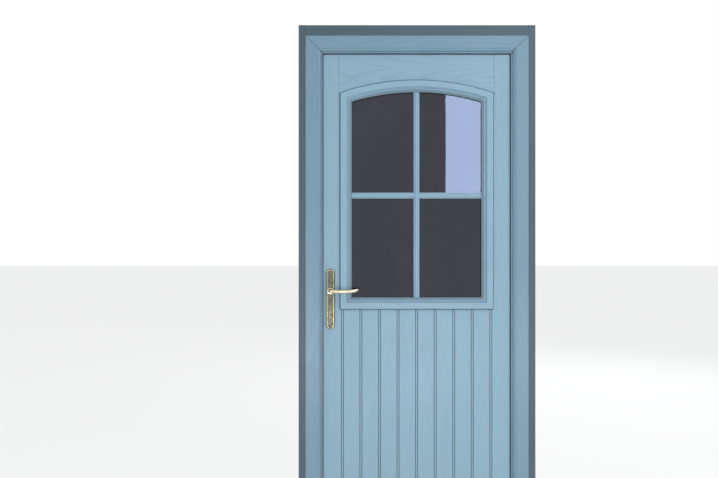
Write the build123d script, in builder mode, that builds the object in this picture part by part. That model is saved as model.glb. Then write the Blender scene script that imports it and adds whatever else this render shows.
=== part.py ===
from build123d import *
import math
import os

# Half-glazed cottage entrance door: one planked leaf with an arched window, hung in its own frame.
# Millimetres, +Z up. X runs to the right as seen from the street, -Y is the street and +Y the room.
# The origin is the middle of the threshold's underside.

# Leaf
leaf_width = 814
leaf_height = 2017
leaf_thickness = 44
skin_thickness = 2.5
stile_width = 70
rail_height = 90

# Frame
frame_depth = 70
leaf_overlap = 12
edge_gap = 4
seal_gap = 4
lip_width = 4
lip_setback = 13
quirk_width = 2
bead_radius = 10
face_step = 3.5
broad_face = 51
clip_width = 6
clip_depth = 4
clip_clearance = 0.2
jamb_extension_width = 30
head_extension_width = 45
extension_setback = 3
threshold_base = 8
threshold_nose = 3
threshold_crest = 6
tread_grooves = 4
tread_groove_depth = 0.8
seal_width = 5
seal_inset = 4
seal_rounding = 1.2
soft_clearance = 0.3

# Frame fixings
fixing_pitch = 560
fixing_height = 180
fixings_per_jamb = 4
fixing_hole_radius = 4
fixing_plane = 12

# Plank grooves, each a bead between two V lines
groove_count = 9
groove_side_margin = 95
groove_line_spacing = 8.4
groove_line_width = 3.6
groove_depth = 2.2
bottom_margin = 110
groove_run_under = 20

# Glazing cassette and sealed unit
window_side_margin = 87
window_top_margin = 125
window_below_spindle = 76
window_rise = 53
cassette_proud = 13
cassette_edge_bevel = 3
cassette_face = 26
cove_radius = 8
cassette_bead = 5
cassette_quirk = 3
quirk_depth = 2
cassette_lip = 5
lip_fall = 2.5
flange_width = 31
aperture_clearance = 1
glass_thickness = 4
cavity = 16
glass_cover = 12
glazing_tape = 1
spacer_width = 8
spacer_inset = 2
bar_width = 24
bar_height = 10
bar_step = 4
bar_crown = 8
bar_clearance = 0.3
bar_above_spindle = 400
duplex_width = 14

# Handle set, placed from the spindle
backset = 45
spindle_height = 1010
cylinder_drop = 92
plate_width = 36
plate_height = 253
plate_drop = 34.5
plate_thickness = 9
plate_bevel = 3
post_spacing = 215
post_radius = 4.5
post_length = 20
boss_radius = 13.5
boss_length = 9
neck_radius = 8
lever_projection = 44
lever_reach = 118
lever_bend = 15
lever_return = 15
tip_bend = 9
lever_depth = 9
lever_section_height = 14
spindle_side = 8
running_clearance = 0.05

# Cylinder
cylinder_radius = 8.5
cylinder_web = 10
cylinder_height = 33
cylinder_stand = 1.5
cylinder_clearance = 0.2
plug_radius = 7
keyway_width = 2.2
keyway_height = 8.5
keyway_depth = 22
cam_width = 10
cam_radius = 15.3
cam_nose_width = 8
thumb_width = 26
thumb_height = 14
thumb_thickness = 6

# Multipoint lock
faceplate_width = 20
faceplate_thickness = 2.5
faceplate_end = 60
case_thickness = 16
case_depth = 60
case_above = 62
case_below = 132
latch_rise = 12
latch_height = 28
latch_thickness = 12
latch_throw = 12
latch_tail_height = 8
latch_tail_length = 12
latch_body = 22
latch_nose = 2
bolt_above_cylinder = 32
bolt_height = 24
bolt_length = 28
bolt_throw = 20
follower_radius = 10
rail_thickness = 3.5
rail_depth = 8
rail_travel = 20
moving_clearance = 0.5
hook_distance = 620
hook_case_height = 110
hook_case_depth = 44
hook_setback = 14
hook_reach = 33
hook_width = 14
hook_thickness = 4
hook_pin_radius = 2.5
hook_arm = 7
hook_tip = 9

# Keeps let into the jamb's rebate
keep_width = 24
keep_thickness = 3
keep_margin = 22
keep_wall = 1.5
keep_room = 2

# Hinges on the room side
hinge_height = 100
hinge_plate_width = 34
hinge_plate_thickness = 3
hinge_barrel_radius = 8
hinge_pin_radius = 4
hinge_standoff = 9
hinge_web = 10
knuckle_share = 0.44
knuckle_gap = 0.3
hinge_from_end = 170
pin_overhang = 3

# Planes and edges that the pieces share
street = -frame_depth / 2
room = frame_depth / 2
leaf_edge = leaf_width / 2
leaf_front = room - leaf_thickness
leaf_middle = room - leaf_thickness / 2
leaf_bottom = threshold_base + edge_gap
leaf_top = leaf_bottom + leaf_height
core_front = leaf_front + skin_thickness
core_back = room - skin_thickness
sight_edge = leaf_edge - leaf_overlap
sight_bottom = leaf_bottom + leaf_overlap
sight_top = leaf_top - leaf_overlap
bed_edge = leaf_edge + edge_gap
upstand_back = leaf_front - seal_gap
groove_pitch = (leaf_width - 2 * groove_side_margin) / (groove_count - 1)
frame_face = lip_width + 2 * quirk_width + bead_radius + broad_face
frame_edge = sight_edge + frame_face
frame_top = sight_top + frame_face
bed_inset = leaf_overlap + edge_gap
extension_edge = frame_edge + jamb_extension_width
extension_top = frame_top + head_extension_width
clip_places = [frame_depth * 0.25, frame_depth * 0.8]

spindle_x = -leaf_edge + backset
spindle_z = leaf_bottom + spindle_height
cylinder_z = spindle_z - cylinder_drop
window_bottom = spindle_z - window_below_spindle
window_top = leaf_top - window_top_margin
cassette_height = window_top - window_bottom
cassette_width = leaf_width - 2 * window_side_margin
arch_radius = ((cassette_width / 2) ** 2 + window_rise**2) / (2 * window_rise)
arch_centre = window_top - arch_radius
moulding_width = cassette_face + cove_radius + cassette_bead + cassette_quirk + cassette_lip
unit_thickness = 2 * glass_thickness + cavity
unit_front = leaf_middle - unit_thickness / 2
web_depth = unit_front - glazing_tape - leaf_front
glass_inset = moulding_width - glass_cover
aperture_inset = flange_width - aperture_clearance
bar_z = spindle_z + bar_above_spindle

lock_face = -leaf_edge
lock_inner = lock_face + faceplate_thickness
leaf_centre = leaf_bottom + leaf_height / 2
latch_z = spindle_z + latch_rise
bolt_z = cylinder_z + bolt_above_cylinder
case_middle = spindle_z + (case_above - case_below) / 2
case_height = case_above + case_below
rail_x = lock_inner + moving_clearance + rail_depth / 2
hook_x = lock_face + hook_setback
hook_heights = {"upper": spindle_z + hook_distance, "lower": spindle_z - hook_distance}
keep_face = -bed_edge
plate_z = spindle_z - plate_drop
hinge_heights = [leaf_bottom + hinge_from_end, leaf_centre, leaf_top - hinge_from_end]
hinge_x = leaf_edge + edge_gap / 2
hinge_y = room + hinge_standoff
leaf_mirror = Plane((0, leaf_middle, 0), x_dir=(1, 0, 0), z_dir=(0, -1, 0))

os.makedirs("parts", exist_ok=True)


def facing_street(y):
    """A sketch plane at depth y, seen from the street: a positive extrusion comes towards the street."""
    return Plane((0, y, 0), x_dir=(1, 0, 0), z_dir=(0, -1, 0))


def box_between(low, high, mode=Mode.ADD):
    """A box from its two opposite corners."""
    sizes = [b - a for a, b in zip(low, high)]
    middle = tuple((a + b) / 2 for a, b in zip(low, high))
    with Locations(middle):
        Box(*sizes, mode=mode)


# Frame


def frame_section():
    """u runs outward from the sight edge and v from the street face into the room."""
    bead_start = lip_width + quirk_width
    bead_end = bead_start + bead_radius
    face_start = bead_end + quirk_width
    bead_foot = face_step + bead_radius
    quarter = bead_radius * math.sqrt(0.5)
    back = upstand_back - street
    with BuildSketch() as section:
        with BuildLine():
            Polyline(
                (bead_start, bead_foot),
                (bead_start, lip_setback + quirk_width),
                (lip_width, lip_setback + quirk_width),
                (lip_width, lip_setback),
                (0, lip_setback),
                (0, back),
                (bed_inset, back),
                (bed_inset, frame_depth),
                (frame_face, frame_depth),
                (frame_face, 0),
                (face_start, 0),
                (face_start, face_step),
                (bead_end, face_step),
            )
            ThreePointArc(
                (bead_end, face_step),
                (bead_end - quarter, bead_foot - quarter),
                (bead_start, bead_foot),
            )
        make_face()
        for place in clip_places:
            with Locations((frame_face, place)):
                Rectangle(2 * clip_depth, clip_width, mode=Mode.SUBTRACT)
    return section.sketch


def fixing_heights():
    return [fixing_height + i * fixing_pitch for i in range(fixings_per_jamb)]


def cut_fixing_holes(side, x_from, x_to):
    """The frame screws' holes along X through one jamb or its extension."""
    for z in fixing_heights():
        with Locations(Location((side * (x_from + x_to) / 2, fixing_plane, z), (0, 90, 0))):
            Cylinder(fixing_hole_radius, x_to - x_from, mode=Mode.SUBTRACT)


def jamb(side):
    """side is -1 for the lock side and 1 for the hinge side."""
    with BuildPart() as piece:
        plane = Plane((side * sight_edge, street, 0), x_dir=(side, 0, 0), z_dir=(0, 0, side))
        with BuildSketch(plane):
            add(frame_section())
        extrude(amount=side * frame_top)
        mitre = Plane((side * sight_edge, 0, sight_top), x_dir=(0, 1, 0), z_dir=(-side, 0, 1))
        split(bisect_by=mitre, keep=Keep.BOTTOM)
        low = (min(side * sight_edge, side * bed_edge), street, 0)
        high = (max(side * sight_edge, side * bed_edge), upstand_back, sight_bottom)
        box_between(low, high, mode=Mode.SUBTRACT)
        cut_fixing_holes(side, bed_edge, frame_edge)
    return piece


def pocket_in_jamb(height, z, depth):
    """A keep's recess and the deeper pocket behind it, cut from the lock jamb."""
    box_between(
        (keep_face - keep_thickness, leaf_middle - keep_width / 2, z - height / 2),
        (keep_face, leaf_middle + keep_width / 2, z + height / 2),
        mode=Mode.SUBTRACT,
    )
    room_y = keep_pocket_half + keep_wall
    room_z = height / 2 - keep_margin + keep_wall
    box_between(
        (keep_face - depth, leaf_middle - room_y, z - room_z),
        (keep_face, leaf_middle + room_y, z + room_z),
        mode=Mode.SUBTRACT,
    )


# Each keep: its height, its middle and the slots that the bolts go into, as (low z, high z)
keep_pocket_half = latch_thickness / 2 + keep_room
keep_depth = bolt_throw - edge_gap + keep_room + keep_wall
latch_slot = (latch_z - latch_height / 2 - keep_room, latch_z + latch_height / 2 + keep_room)
bolt_slot = (bolt_z - bolt_height / 2 - keep_room, bolt_z + bolt_height / 2 + keep_room)
keeps = {"centre": [latch_slot, bolt_slot]}
for name, z in hook_heights.items():
    keeps[name] = [(z - hook_width / 2 - keep_room, z + hook_reach + keep_room)]


def keep_span(slots):
    """The keep's middle and height round its slots."""
    low = min(slot[0] for slot in slots) - keep_margin
    high = max(slot[1] for slot in slots) + keep_margin
    return (low + high) / 2, high - low


left_jamb = jamb(-1)
with BuildPart() as lock_jamb:
    add(left_jamb.part)
    for slots in keeps.values():
        middle, height = keep_span(slots)
        pocket_in_jamb(height, middle, keep_depth)
lock_jamb.part.label = "lock_jamb"
export_step(lock_jamb.part, "parts/lock_jamb.step")

hinge_jamb = jamb(1)
hinge_jamb.part.label = "hinge_jamb"
export_step(hinge_jamb.part, "parts/hinge_jamb.step")

with BuildPart() as head:
    with BuildSketch(Plane((frame_edge, street, sight_top), x_dir=(0, 0, 1), z_dir=(-1, 0, 0))):
        add(frame_section())
    extrude(amount=2 * frame_edge)
    for side in (-1, 1):
        mitre = Plane((side * sight_edge, 0, sight_top), x_dir=(0, 1, 0), z_dir=(-side, 0, 1))
        split(bisect_by=mitre, keep=Keep.TOP)
head.part.label = "frame_head"
export_step(head.part, "parts/frame_head.step")

with BuildPart() as threshold:
    ramp_top = upstand_back - threshold_crest
    ramp_rise = sight_bottom - threshold_nose
    with BuildSketch(Plane((-bed_edge, 0, 0), x_dir=(0, 1, 0), z_dir=(1, 0, 0))):
        Polygon(
            (street, 0),
            (street, threshold_nose),
            (ramp_top, sight_bottom),
            (upstand_back, sight_bottom),
            (upstand_back, threshold_base),
            (room, threshold_base),
            (room, 0),
            align=None,
        )
        for i in range(1, tread_grooves + 1):
            share = i / (tread_grooves + 1)
            groove_at = (street + share * (ramp_top - street), threshold_nose + share * ramp_rise)
            with Locations(groove_at):
                Circle(tread_groove_depth, mode=Mode.SUBTRACT)
    extrude(amount=2 * bed_edge)
threshold.part.label = "threshold"
export_step(threshold.part, "parts/threshold.step")

with BuildPart() as weather_seal:
    with BuildSketch(facing_street(upstand_back)):
        for inset, mode in ((seal_inset + seal_width, Mode.ADD), (seal_inset, Mode.SUBTRACT)):
            with Locations((0, (sight_bottom + sight_top) / 2)):
                Rectangle(2 * (sight_edge + inset), sight_top - sight_bottom + 2 * inset, mode=mode)
    extrude(amount=-(seal_gap - soft_clearance))
    fillet(weather_seal.edges().group_by(Axis.Y)[-1], radius=seal_rounding)
weather_seal.part.label = "weather_seal"
export_step(weather_seal.part, "parts/weather_seal.step")


with BuildPart() as head_extension:
    box_between((-frame_edge, street + extension_setback, frame_top), (frame_edge, room, extension_top))
    fillet(head_extension.edges().filter_by(Axis.X).group_by(Axis.Y)[0], radius=quirk_width)
    clip_end = frame_edge - clip_depth
    clip_half = clip_width / 2 - clip_clearance
    for place in clip_places:
        low = (-clip_end, street + place - clip_half, frame_top - clip_depth + clip_clearance)
        box_between(low, (clip_end, street + place + clip_half, frame_top))
head_extension.part.label = "head_extension"
export_step(head_extension.part, "parts/head_extension.step")

for side, name in ((-1, "lock_side_extension"), (1, "hinge_side_extension")):
    with BuildPart() as jamb_extension:
        with BuildSketch(Plane.XY):
            with Locations((side * (frame_edge + jamb_extension_width / 2), extension_setback / 2)):
                Rectangle(jamb_extension_width, frame_depth - extension_setback)
        extrude(amount=extension_top)
        fillet(jamb_extension.edges().filter_by(Axis.Z).group_by(Axis.Y)[0], radius=quirk_width)
        with BuildSketch(Plane.XY):
            for place in clip_places:
                clip_x = frame_edge - (clip_depth - clip_clearance) / 2
                with Locations((side * clip_x, street + place)):
                    Rectangle(clip_depth - clip_clearance, clip_width - 2 * clip_clearance)
        extrude(amount=frame_top)
        cut_fixing_holes(side, frame_edge - clip_depth, extension_edge)
    jamb_extension.part.label = name
    export_step(jamb_extension.part, f"parts/{name}.step")


for name, slots in keeps.items():
    middle, height = keep_span(slots)
    pocket_height = height - 2 * keep_margin
    with BuildPart() as keep:
        box_between(
            (keep_face - keep_thickness, leaf_middle - keep_width / 2, middle - height / 2),
            (keep_face, leaf_middle + keep_width / 2, middle + height / 2),
        )
        half = keep_pocket_half + keep_wall
        box_between(
            (keep_face - keep_depth, leaf_middle - half, middle - pocket_height / 2 - keep_wall),
            (keep_face, leaf_middle + half, middle + pocket_height / 2 + keep_wall),
        )
        for low, high in slots:
            box_between(
                (keep_face - keep_depth + keep_wall, leaf_middle - keep_pocket_half, low),
                (keep_face, leaf_middle + keep_pocket_half, high),
                mode=Mode.SUBTRACT,
            )
    keep.part.label = f"{name}_keep"
    export_step(keep.part, f"parts/{name}_keep.step")

# Hinges: the frame's half has the outer knuckles and the leaf's half the middle one

knuckle_height = hinge_height * (1 - knuckle_share) / 2


def hinge_half(side, spans):
    """side is 1 for the frame's half and -1 for the leaf's; spans are its knuckles' heights."""
    with BuildPart() as piece:
        flange = (hinge_x + side * (hinge_barrel_radius + moving_clearance), hinge_x + side * hinge_plate_width)
        box_between(
            (min(flange), room, -hinge_height / 2),
            (max(flange), room + hinge_plate_thickness, hinge_height / 2),
        )
        chamfer(piece.edges().filter_by(Axis.Y), length=hinge_plate_thickness)
        for low, high in spans:
            with BuildSketch(Plane.XY.offset(low)):
                with Locations((hinge_x, hinge_y)):
                    Circle(hinge_barrel_radius)
                web_x = hinge_x + side * (edge_gap / 2 + hinge_web / 2)
                with Locations((web_x, (room + hinge_y) / 2)):
                    Rectangle(hinge_web, hinge_standoff)
            extrude(amount=high - low)
        with Locations((hinge_x, hinge_y, 0)):
            Cylinder(hinge_pin_radius + running_clearance, hinge_height, mode=Mode.SUBTRACT)
    return piece.part


half_height = hinge_height / 2
outer_spans = [(-half_height, -half_height + knuckle_height), (half_height - knuckle_height, half_height)]
middle_span = [(-half_height + knuckle_height + knuckle_gap, half_height - knuckle_height - knuckle_gap)]
hinge_names = ["bottom_hinge", "middle_hinge", "top_hinge"]
for name, z in zip(hinge_names, hinge_heights):
    with BuildPart() as frame_half:
        add(Pos(0, 0, z) * hinge_half(1, outer_spans))
    frame_half.part.label = f"{name}_frame_half"
    export_step(frame_half.part, f"parts/{name}_frame_half.step")
    with BuildPart() as leaf_half:
        add(Pos(0, 0, z) * hinge_half(-1, middle_span))
    leaf_half.part.label = f"{name}_leaf_half"
    export_step(leaf_half.part, f"parts/{name}_leaf_half.step")

with BuildPart() as hinge_pins:
    for z in hinge_heights:
        with Locations((hinge_x, hinge_y, z)):
            Cylinder(hinge_pin_radius, hinge_height + 2 * pin_overhang)
hinge_pins.part.label = "hinge_pins"
export_step(hinge_pins.part, "parts/hinge_pins.step")

# Leaf


def groove_lines():
    """The middles of all V lines: two to each groove."""
    first = -(groove_count - 1) / 2 * groove_pitch
    middles = [first + i * groove_pitch for i in range(groove_count)]
    return [x + side * groove_line_spacing / 2 for x in middles for side in (-1, 1)]


groove_bottom = leaf_bottom + bottom_margin
groove_length = window_bottom + groove_run_under - groove_bottom


def wedges(y, into, half_width, depth):
    """A run of wedges along Z, one on each V line: their base is at y and they point along into."""
    with BuildPart() as run:
        with BuildSketch(Plane.XY.offset(groove_bottom)):
            for x in groove_lines():
                with Locations((x, y)):
                    Polygon((-half_width, 0), (half_width, 0), (0, into * depth), align=None)
        extrude(amount=groove_length)
    return run.part


def window_outline(inset):
    """The arched outline of the window, drawn inset from the cassette's outer edge."""
    half = cassette_width / 2 - inset
    with BuildSketch() as outline:
        with Locations((0, window_bottom + inset)):
            Rectangle(2 * half, cassette_height, align=(Align.CENTER, Align.MIN))
        with Locations((0, arch_centre)):
            Circle(arch_radius - inset, mode=Mode.INTERSECT)
    return outline.sketch


def window_prism(inset, y_from, y_to):
    """The window's outline as a solid between two depths."""
    with BuildPart() as prism:
        with BuildSketch(facing_street(y_to)):
            add(window_outline(inset))
        extrude(amount=y_to - y_from)
    return prism.part


def euro_profile(clearance):
    """The lock cylinder's outline round its plug's axis."""
    web_middle = cylinder_web / 2 - (cylinder_height - cylinder_radius)
    with BuildSketch() as outline:
        Circle(cylinder_radius + clearance)
        with Locations((0, web_middle / 2)):
            Rectangle(cylinder_web + 2 * clearance, -web_middle)
        with Locations((0, web_middle)):
            Circle(cylinder_web / 2 + clearance)
    return outline.sketch


def handle_holes(y_from, y_to):
    """What the handle set needs through the leaf: the spindle, the posts and the cylinder."""
    with BuildPart() as holes:
        with BuildSketch(facing_street(y_to)):
            with Locations((spindle_x, spindle_z)):
                Rectangle(2 * neck_radius, 2 * neck_radius)
            with Locations((spindle_x, plate_z)):
                with GridLocations(0, post_spacing, 1, 2):
                    Rectangle(2 * post_radius + 2 * cylinder_clearance, 2 * post_radius + 2 * cylinder_clearance)
            with Locations((spindle_x, cylinder_z - cylinder_height / 2 + cylinder_radius)):
                Rectangle(2 * cylinder_radius + 2 * moving_clearance, cylinder_height + 2 * moving_clearance)
        extrude(amount=y_to - y_from)
    return holes.part


def leaf_panel(x_edge, low, high, y_from, y_to):
    """A flat layer of the leaf between two heights."""
    with BuildPart() as panel:
        box_between((-x_edge, y_from, low), (x_edge, y_to, high))
    return panel.part


line_half = groove_line_width / 2
with BuildPart() as outer_skin:
    add(leaf_panel(leaf_edge, leaf_bottom, leaf_top, leaf_front, core_front))
    add(wedges(core_front, 1, line_half, groove_depth))
    add(wedges(leaf_front, 1, line_half, groove_depth), mode=Mode.SUBTRACT)
    add(window_prism(aperture_inset, leaf_front, core_front), mode=Mode.SUBTRACT)
    add(handle_holes(leaf_front, core_front), mode=Mode.SUBTRACT)
outer_skin.part.label = "outer_skin"
export_step(outer_skin.part, "parts/outer_skin.step")

with BuildPart() as inner_skin:
    mirror(outer_skin.part, about=leaf_mirror)
inner_skin.part.label = "inner_skin"
export_step(inner_skin.part, "parts/inner_skin.step")

with BuildPart() as foam_core:
    inner_edge = leaf_edge - stile_width
    box_between(
        (-inner_edge, core_front, leaf_bottom + rail_height),
        (inner_edge, core_back, leaf_top - rail_height),
    )
    add(wedges(core_front, 1, line_half, groove_depth), mode=Mode.SUBTRACT)
    add(wedges(core_back, -1, line_half, groove_depth), mode=Mode.SUBTRACT)
    add(window_prism(aperture_inset, core_front, core_back), mode=Mode.SUBTRACT)
foam_core.part.label = "foam_core"
export_step(foam_core.part, "parts/foam_core.step")

for name, low in (("bottom_edge_rail", leaf_bottom), ("top_edge_rail", leaf_top - rail_height)):
    with BuildPart() as edge_rail:
        add(leaf_panel(leaf_edge - stile_width, low, low + rail_height, core_front, core_back))
    edge_rail.part.label = name
    export_step(edge_rail.part, f"parts/{name}.step")

with BuildPart() as hinge_stile:
    box_between((leaf_edge - stile_width, core_front, leaf_bottom), (leaf_edge, core_back, leaf_top))
hinge_stile.part.label = "hinge_stile"
export_step(hinge_stile.part, "parts/hinge_stile.step")

# The lock stile is cut for the faceplate, the drive rail, the three lock cases and the handle set

faceplate_low = hook_heights["lower"] - hook_case_height / 2 - faceplate_end
faceplate_high = hook_heights["upper"] + hook_case_height / 2 + faceplate_end
rail_low = hook_heights["lower"]
rail_high = hook_heights["upper"]
case_front = leaf_middle - case_thickness / 2
case_back = leaf_middle + case_thickness / 2
rail_side = leaf_middle - faceplate_width / 2
case_spans = {"centre": (case_middle - case_height / 2, case_middle + case_height / 2, case_depth)}
for name, z in hook_heights.items():
    case_spans[name] = (z - hook_case_height / 2, z + hook_case_height / 2, hook_case_depth)

with BuildPart() as lock_stile:
    box_between((-leaf_edge, core_front, leaf_bottom), (-leaf_edge + stile_width, core_back, leaf_top))
    box_between(
        (lock_face, rail_side, faceplate_low),
        (lock_inner, rail_side + faceplate_width, faceplate_high),
        mode=Mode.SUBTRACT,
    )
    box_between(
        (lock_face, rail_side, rail_low - rail_travel),
        (lock_inner + rail_depth + 2 * moving_clearance, case_back, rail_high + 2 * rail_travel),
        mode=Mode.SUBTRACT,
    )
    for low, high, depth in case_spans.values():
        box_between((lock_face, case_front, low), (lock_inner + depth, case_back, high), mode=Mode.SUBTRACT)
    add(handle_holes(core_front, core_back), mode=Mode.SUBTRACT)
lock_stile.part.label = "lock_stile"
export_step(lock_stile.part, "parts/lock_stile.step")

# Glazing cassette, cut from the arched block by its moulding


def cassette_section():
    """d runs inward from the cassette's outer edge and h outward from the leaf's face."""
    bead_start = cassette_face + cove_radius
    bead_end = bead_start + cassette_bead
    lip_start = bead_end + cassette_quirk
    cove_foot = cassette_proud - cove_radius
    middle = math.sqrt(0.5) * cove_radius
    quirk = cove_foot - quirk_depth
    beyond = -cassette_edge_bevel
    with BuildSketch() as section:
        with BuildLine():
            Polyline(
                (beyond, cassette_proud),
                (cassette_face, cassette_proud),
                (bead_start - middle, cassette_proud - middle),
                (bead_start, cove_foot),
                (bead_start + cassette_bead / 4, cove_foot + cassette_bead / 2),
                (bead_end - cassette_bead / 4, cove_foot + cassette_bead / 2),
                (bead_end, cove_foot),
                (bead_end, quirk),
                (lip_start, quirk),
                (lip_start, cove_foot),
                (moulding_width, cove_foot - lip_fall),
                (moulding_width, -web_depth),
                (beyond, -web_depth),
                (beyond, cassette_proud),
            )
        make_face()
    return section.sketch


with BuildPart() as moulding:
    left = Plane((-cassette_width / 2, leaf_front, window_bottom), x_dir=(1, 0, 0), z_dir=(0, 0, -1))
    right = Plane((cassette_width / 2, leaf_front, window_bottom), x_dir=(-1, 0, 0), z_dir=(0, 0, 1))
    bottom = Plane((-cassette_width / 2, leaf_front, window_bottom), x_dir=(0, 0, 1), z_dir=(1, 0, 0))
    crown = Plane((0, leaf_front, window_top), x_dir=(0, 0, -1), z_dir=(-1, 0, 0))
    for plane, length in ((left, -cassette_height), (right, cassette_height), (bottom, cassette_width)):
        with BuildSketch(plane):
            add(cassette_section())
        extrude(amount=length)
    with BuildSketch(crown):
        add(cassette_section())
    revolve(axis=Axis((0, 0, arch_centre), (0, 1, 0)), revolution_arc=360)

with BuildPart() as outer_cassette:
    with BuildSketch(facing_street(leaf_front)):
        add(window_outline(0))
    extrude(amount=cassette_proud)
    chamfer(outer_cassette.edges().group_by(Axis.Y)[0], length=cassette_edge_bevel)
    with BuildSketch(facing_street(leaf_front)):
        add(window_outline(flange_width))
    extrude(amount=-web_depth)
    add(moulding.part, mode=Mode.INTERSECT)
outer_cassette.part.label = "outer_cassette"
export_step(outer_cassette.part, "parts/outer_cassette.step")

with BuildPart() as inner_cassette:
    mirror(outer_cassette.part, about=leaf_mirror)
inner_cassette.part.label = "inner_cassette"
export_step(inner_cassette.part, "parts/inner_cassette.step")

pane_fronts = {"outer_pane": unit_front, "inner_pane": unit_front + glass_thickness + cavity}
for name, y in pane_fronts.items():
    with BuildPart() as pane:
        add(window_prism(glass_inset, y, y + glass_thickness))
    pane.part.label = name
    export_step(pane.part, f"parts/{name}.step")

with BuildPart() as glazing_tapes:
    for y in (unit_front - glazing_tape, unit_front + unit_thickness):
        add(window_prism(glass_inset, y, y + glazing_tape))
        add(window_prism(moulding_width, y, y + glazing_tape), mode=Mode.SUBTRACT)
glazing_tapes.part.label = "glazing_tapes"
export_step(glazing_tapes.part, "parts/glazing_tapes.step")

cavity_front = unit_front + glass_thickness
cavity_back = cavity_front + cavity
spacer_outside = glass_inset + spacer_inset
with BuildPart() as spacer_bar:
    add(window_prism(spacer_outside, cavity_front, cavity_back))
    add(window_prism(spacer_outside + spacer_width, cavity_front, cavity_back), mode=Mode.SUBTRACT)
spacer_bar.part.label = "spacer_bar"
export_step(spacer_bar.part, "parts/spacer_bar.step")


def bar_section():
    """A glazing bar's section: u across it, h out from the glass."""
    half = bar_width / 2
    crown = bar_crown / 2
    middle = math.sqrt(0.5)
    curve_x = half - bar_step / 2 - crown
    curve_h = bar_height - bar_step
    with BuildSketch() as section:
        with BuildLine():
            Polyline((-half, 0), (half, 0), (half, bar_step), (crown + curve_x, bar_step))
            ThreePointArc(
                (crown + curve_x, bar_step),
                (crown + curve_x * (1 - middle), bar_step + curve_h * (1 - middle)),
                (crown, bar_height),
            )
            Line((crown, bar_height), (-crown, bar_height))
            ThreePointArc(
                (-crown, bar_height),
                (-crown - curve_x * (1 - middle), bar_step + curve_h * (1 - middle)),
                (-crown - curve_x, bar_step),
            )
            Polyline((-crown - curve_x, bar_step), (-half, bar_step), (-half, 0))
        make_face()
    return section.sketch


with BuildPart() as outer_glazing_bars:
    with BuildSketch(Plane((0, unit_front, window_bottom), x_dir=(-1, 0, 0), z_dir=(0, 0, 1))):
        add(bar_section())
    extrude(amount=cassette_height)
    with BuildSketch(Plane((-cassette_width / 2, unit_front, bar_z), x_dir=(0, 0, 1), z_dir=(1, 0, 0))):
        add(bar_section())
    extrude(amount=cassette_width)
    add(window_prism(moulding_width + bar_clearance, leaf_front, unit_front), mode=Mode.INTERSECT)
outer_glazing_bars.part.label = "outer_glazing_bars"
export_step(outer_glazing_bars.part, "parts/outer_glazing_bars.step")

with BuildPart() as inner_glazing_bars:
    mirror(outer_glazing_bars.part, about=leaf_mirror)
inner_glazing_bars.part.label = "inner_glazing_bars"
export_step(inner_glazing_bars.part, "parts/inner_glazing_bars.step")

with BuildPart() as duplex_bars:
    with BuildSketch(facing_street(cavity_back)):
        with Locations((0, bar_z)):
            Rectangle(2 * cassette_width, duplex_width)
            Rectangle(duplex_width, 2 * cassette_height)
    extrude(amount=cavity)
    add(
        window_prism(spacer_outside + spacer_width, cavity_front, cavity_back),
        mode=Mode.INTERSECT,
    )
duplex_bars.part.label = "duplex_bars"
export_step(duplex_bars.part, "parts/duplex_bars.step")

# Handle set: a long plate on each face, a lever on each plate and a square spindle through both

plate_front = leaf_front - plate_thickness
arm_y = leaf_front - lever_projection
boss_front = plate_front - boss_length


def handle_plate():
    """The street side's plate without its posts: rounded ends, a bevelled rim and a round boss."""
    with BuildPart() as plate:
        with BuildSketch(facing_street(leaf_front)):
            with Locations((spindle_x, plate_z)):
                SlotOverall(plate_height, plate_width, rotation=90)
        extrude(amount=plate_thickness)
        chamfer(plate.edges().group_by(Axis.Y)[0], length=plate_bevel)
        with BuildSketch(facing_street(plate_front)):
            with Locations((spindle_x, spindle_z)):
                Circle(boss_radius)
        extrude(amount=boss_length)
        with BuildSketch(facing_street(leaf_front)):
            with Locations((spindle_x, spindle_z)):
                Circle(neck_radius + running_clearance)
            with Locations((spindle_x, cylinder_z)):
                add(euro_profile(cylinder_clearance))
        extrude(amount=plate_thickness + boss_length, mode=Mode.SUBTRACT)
    return plate.part


with BuildPart() as outer_backplate:
    add(handle_plate())
    with BuildSketch(facing_street(leaf_front)):
        with Locations((spindle_x, plate_z)):
            with GridLocations(0, post_spacing, 1, 2):
                Circle(post_radius)
    extrude(amount=-post_length)
outer_backplate.part.label = "outer_backplate"
export_step(outer_backplate.part, "parts/outer_backplate.step")

inner_plate_face = room + plate_thickness
with BuildPart() as inner_backplate:
    mirror(handle_plate(), about=leaf_mirror)
inner_backplate.part.label = "inner_backplate"
export_step(inner_backplate.part, "parts/inner_backplate.step")

spindle_end = (plate_front + boss_front) / 2
with BuildPart() as outer_lever:
    with BuildSketch(facing_street(leaf_front)):
        with Locations((spindle_x, spindle_z)):
            Circle(neck_radius)
    extrude(amount=lever_projection - lever_depth)
    chamfer(outer_lever.edges().group_by(Axis.Y)[0], length=lever_depth / 4)
    with BuildLine() as arm_path:
        FilletPolyline(
            (spindle_x, boss_front, spindle_z),
            (spindle_x, arm_y, spindle_z),
            (spindle_x + lever_reach, arm_y, spindle_z),
            (spindle_x + lever_reach, arm_y + lever_return, spindle_z),
            radius=[lever_bend, tip_bend],
        )
    with BuildSketch(facing_street(boss_front)):
        with Locations((spindle_x, spindle_z)):
            Polygon(
                (0, lever_section_height / 2),
                (lever_depth / 2, lever_section_height / 4),
                (lever_depth / 2, -lever_section_height / 4),
                (0, -lever_section_height / 2),
                (-lever_depth / 2, -lever_section_height / 4),
                (-lever_depth / 2, lever_section_height / 4),
            )
    sweep(path=arm_path.wires()[0])
    with BuildSketch(facing_street(leaf_front)):
        with Locations((spindle_x, spindle_z)):
            Rectangle(spindle_side + 2 * running_clearance, spindle_side + 2 * running_clearance)
    extrude(amount=leaf_front - spindle_end, mode=Mode.SUBTRACT)
outer_lever.part.label = "outer_lever"
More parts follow.
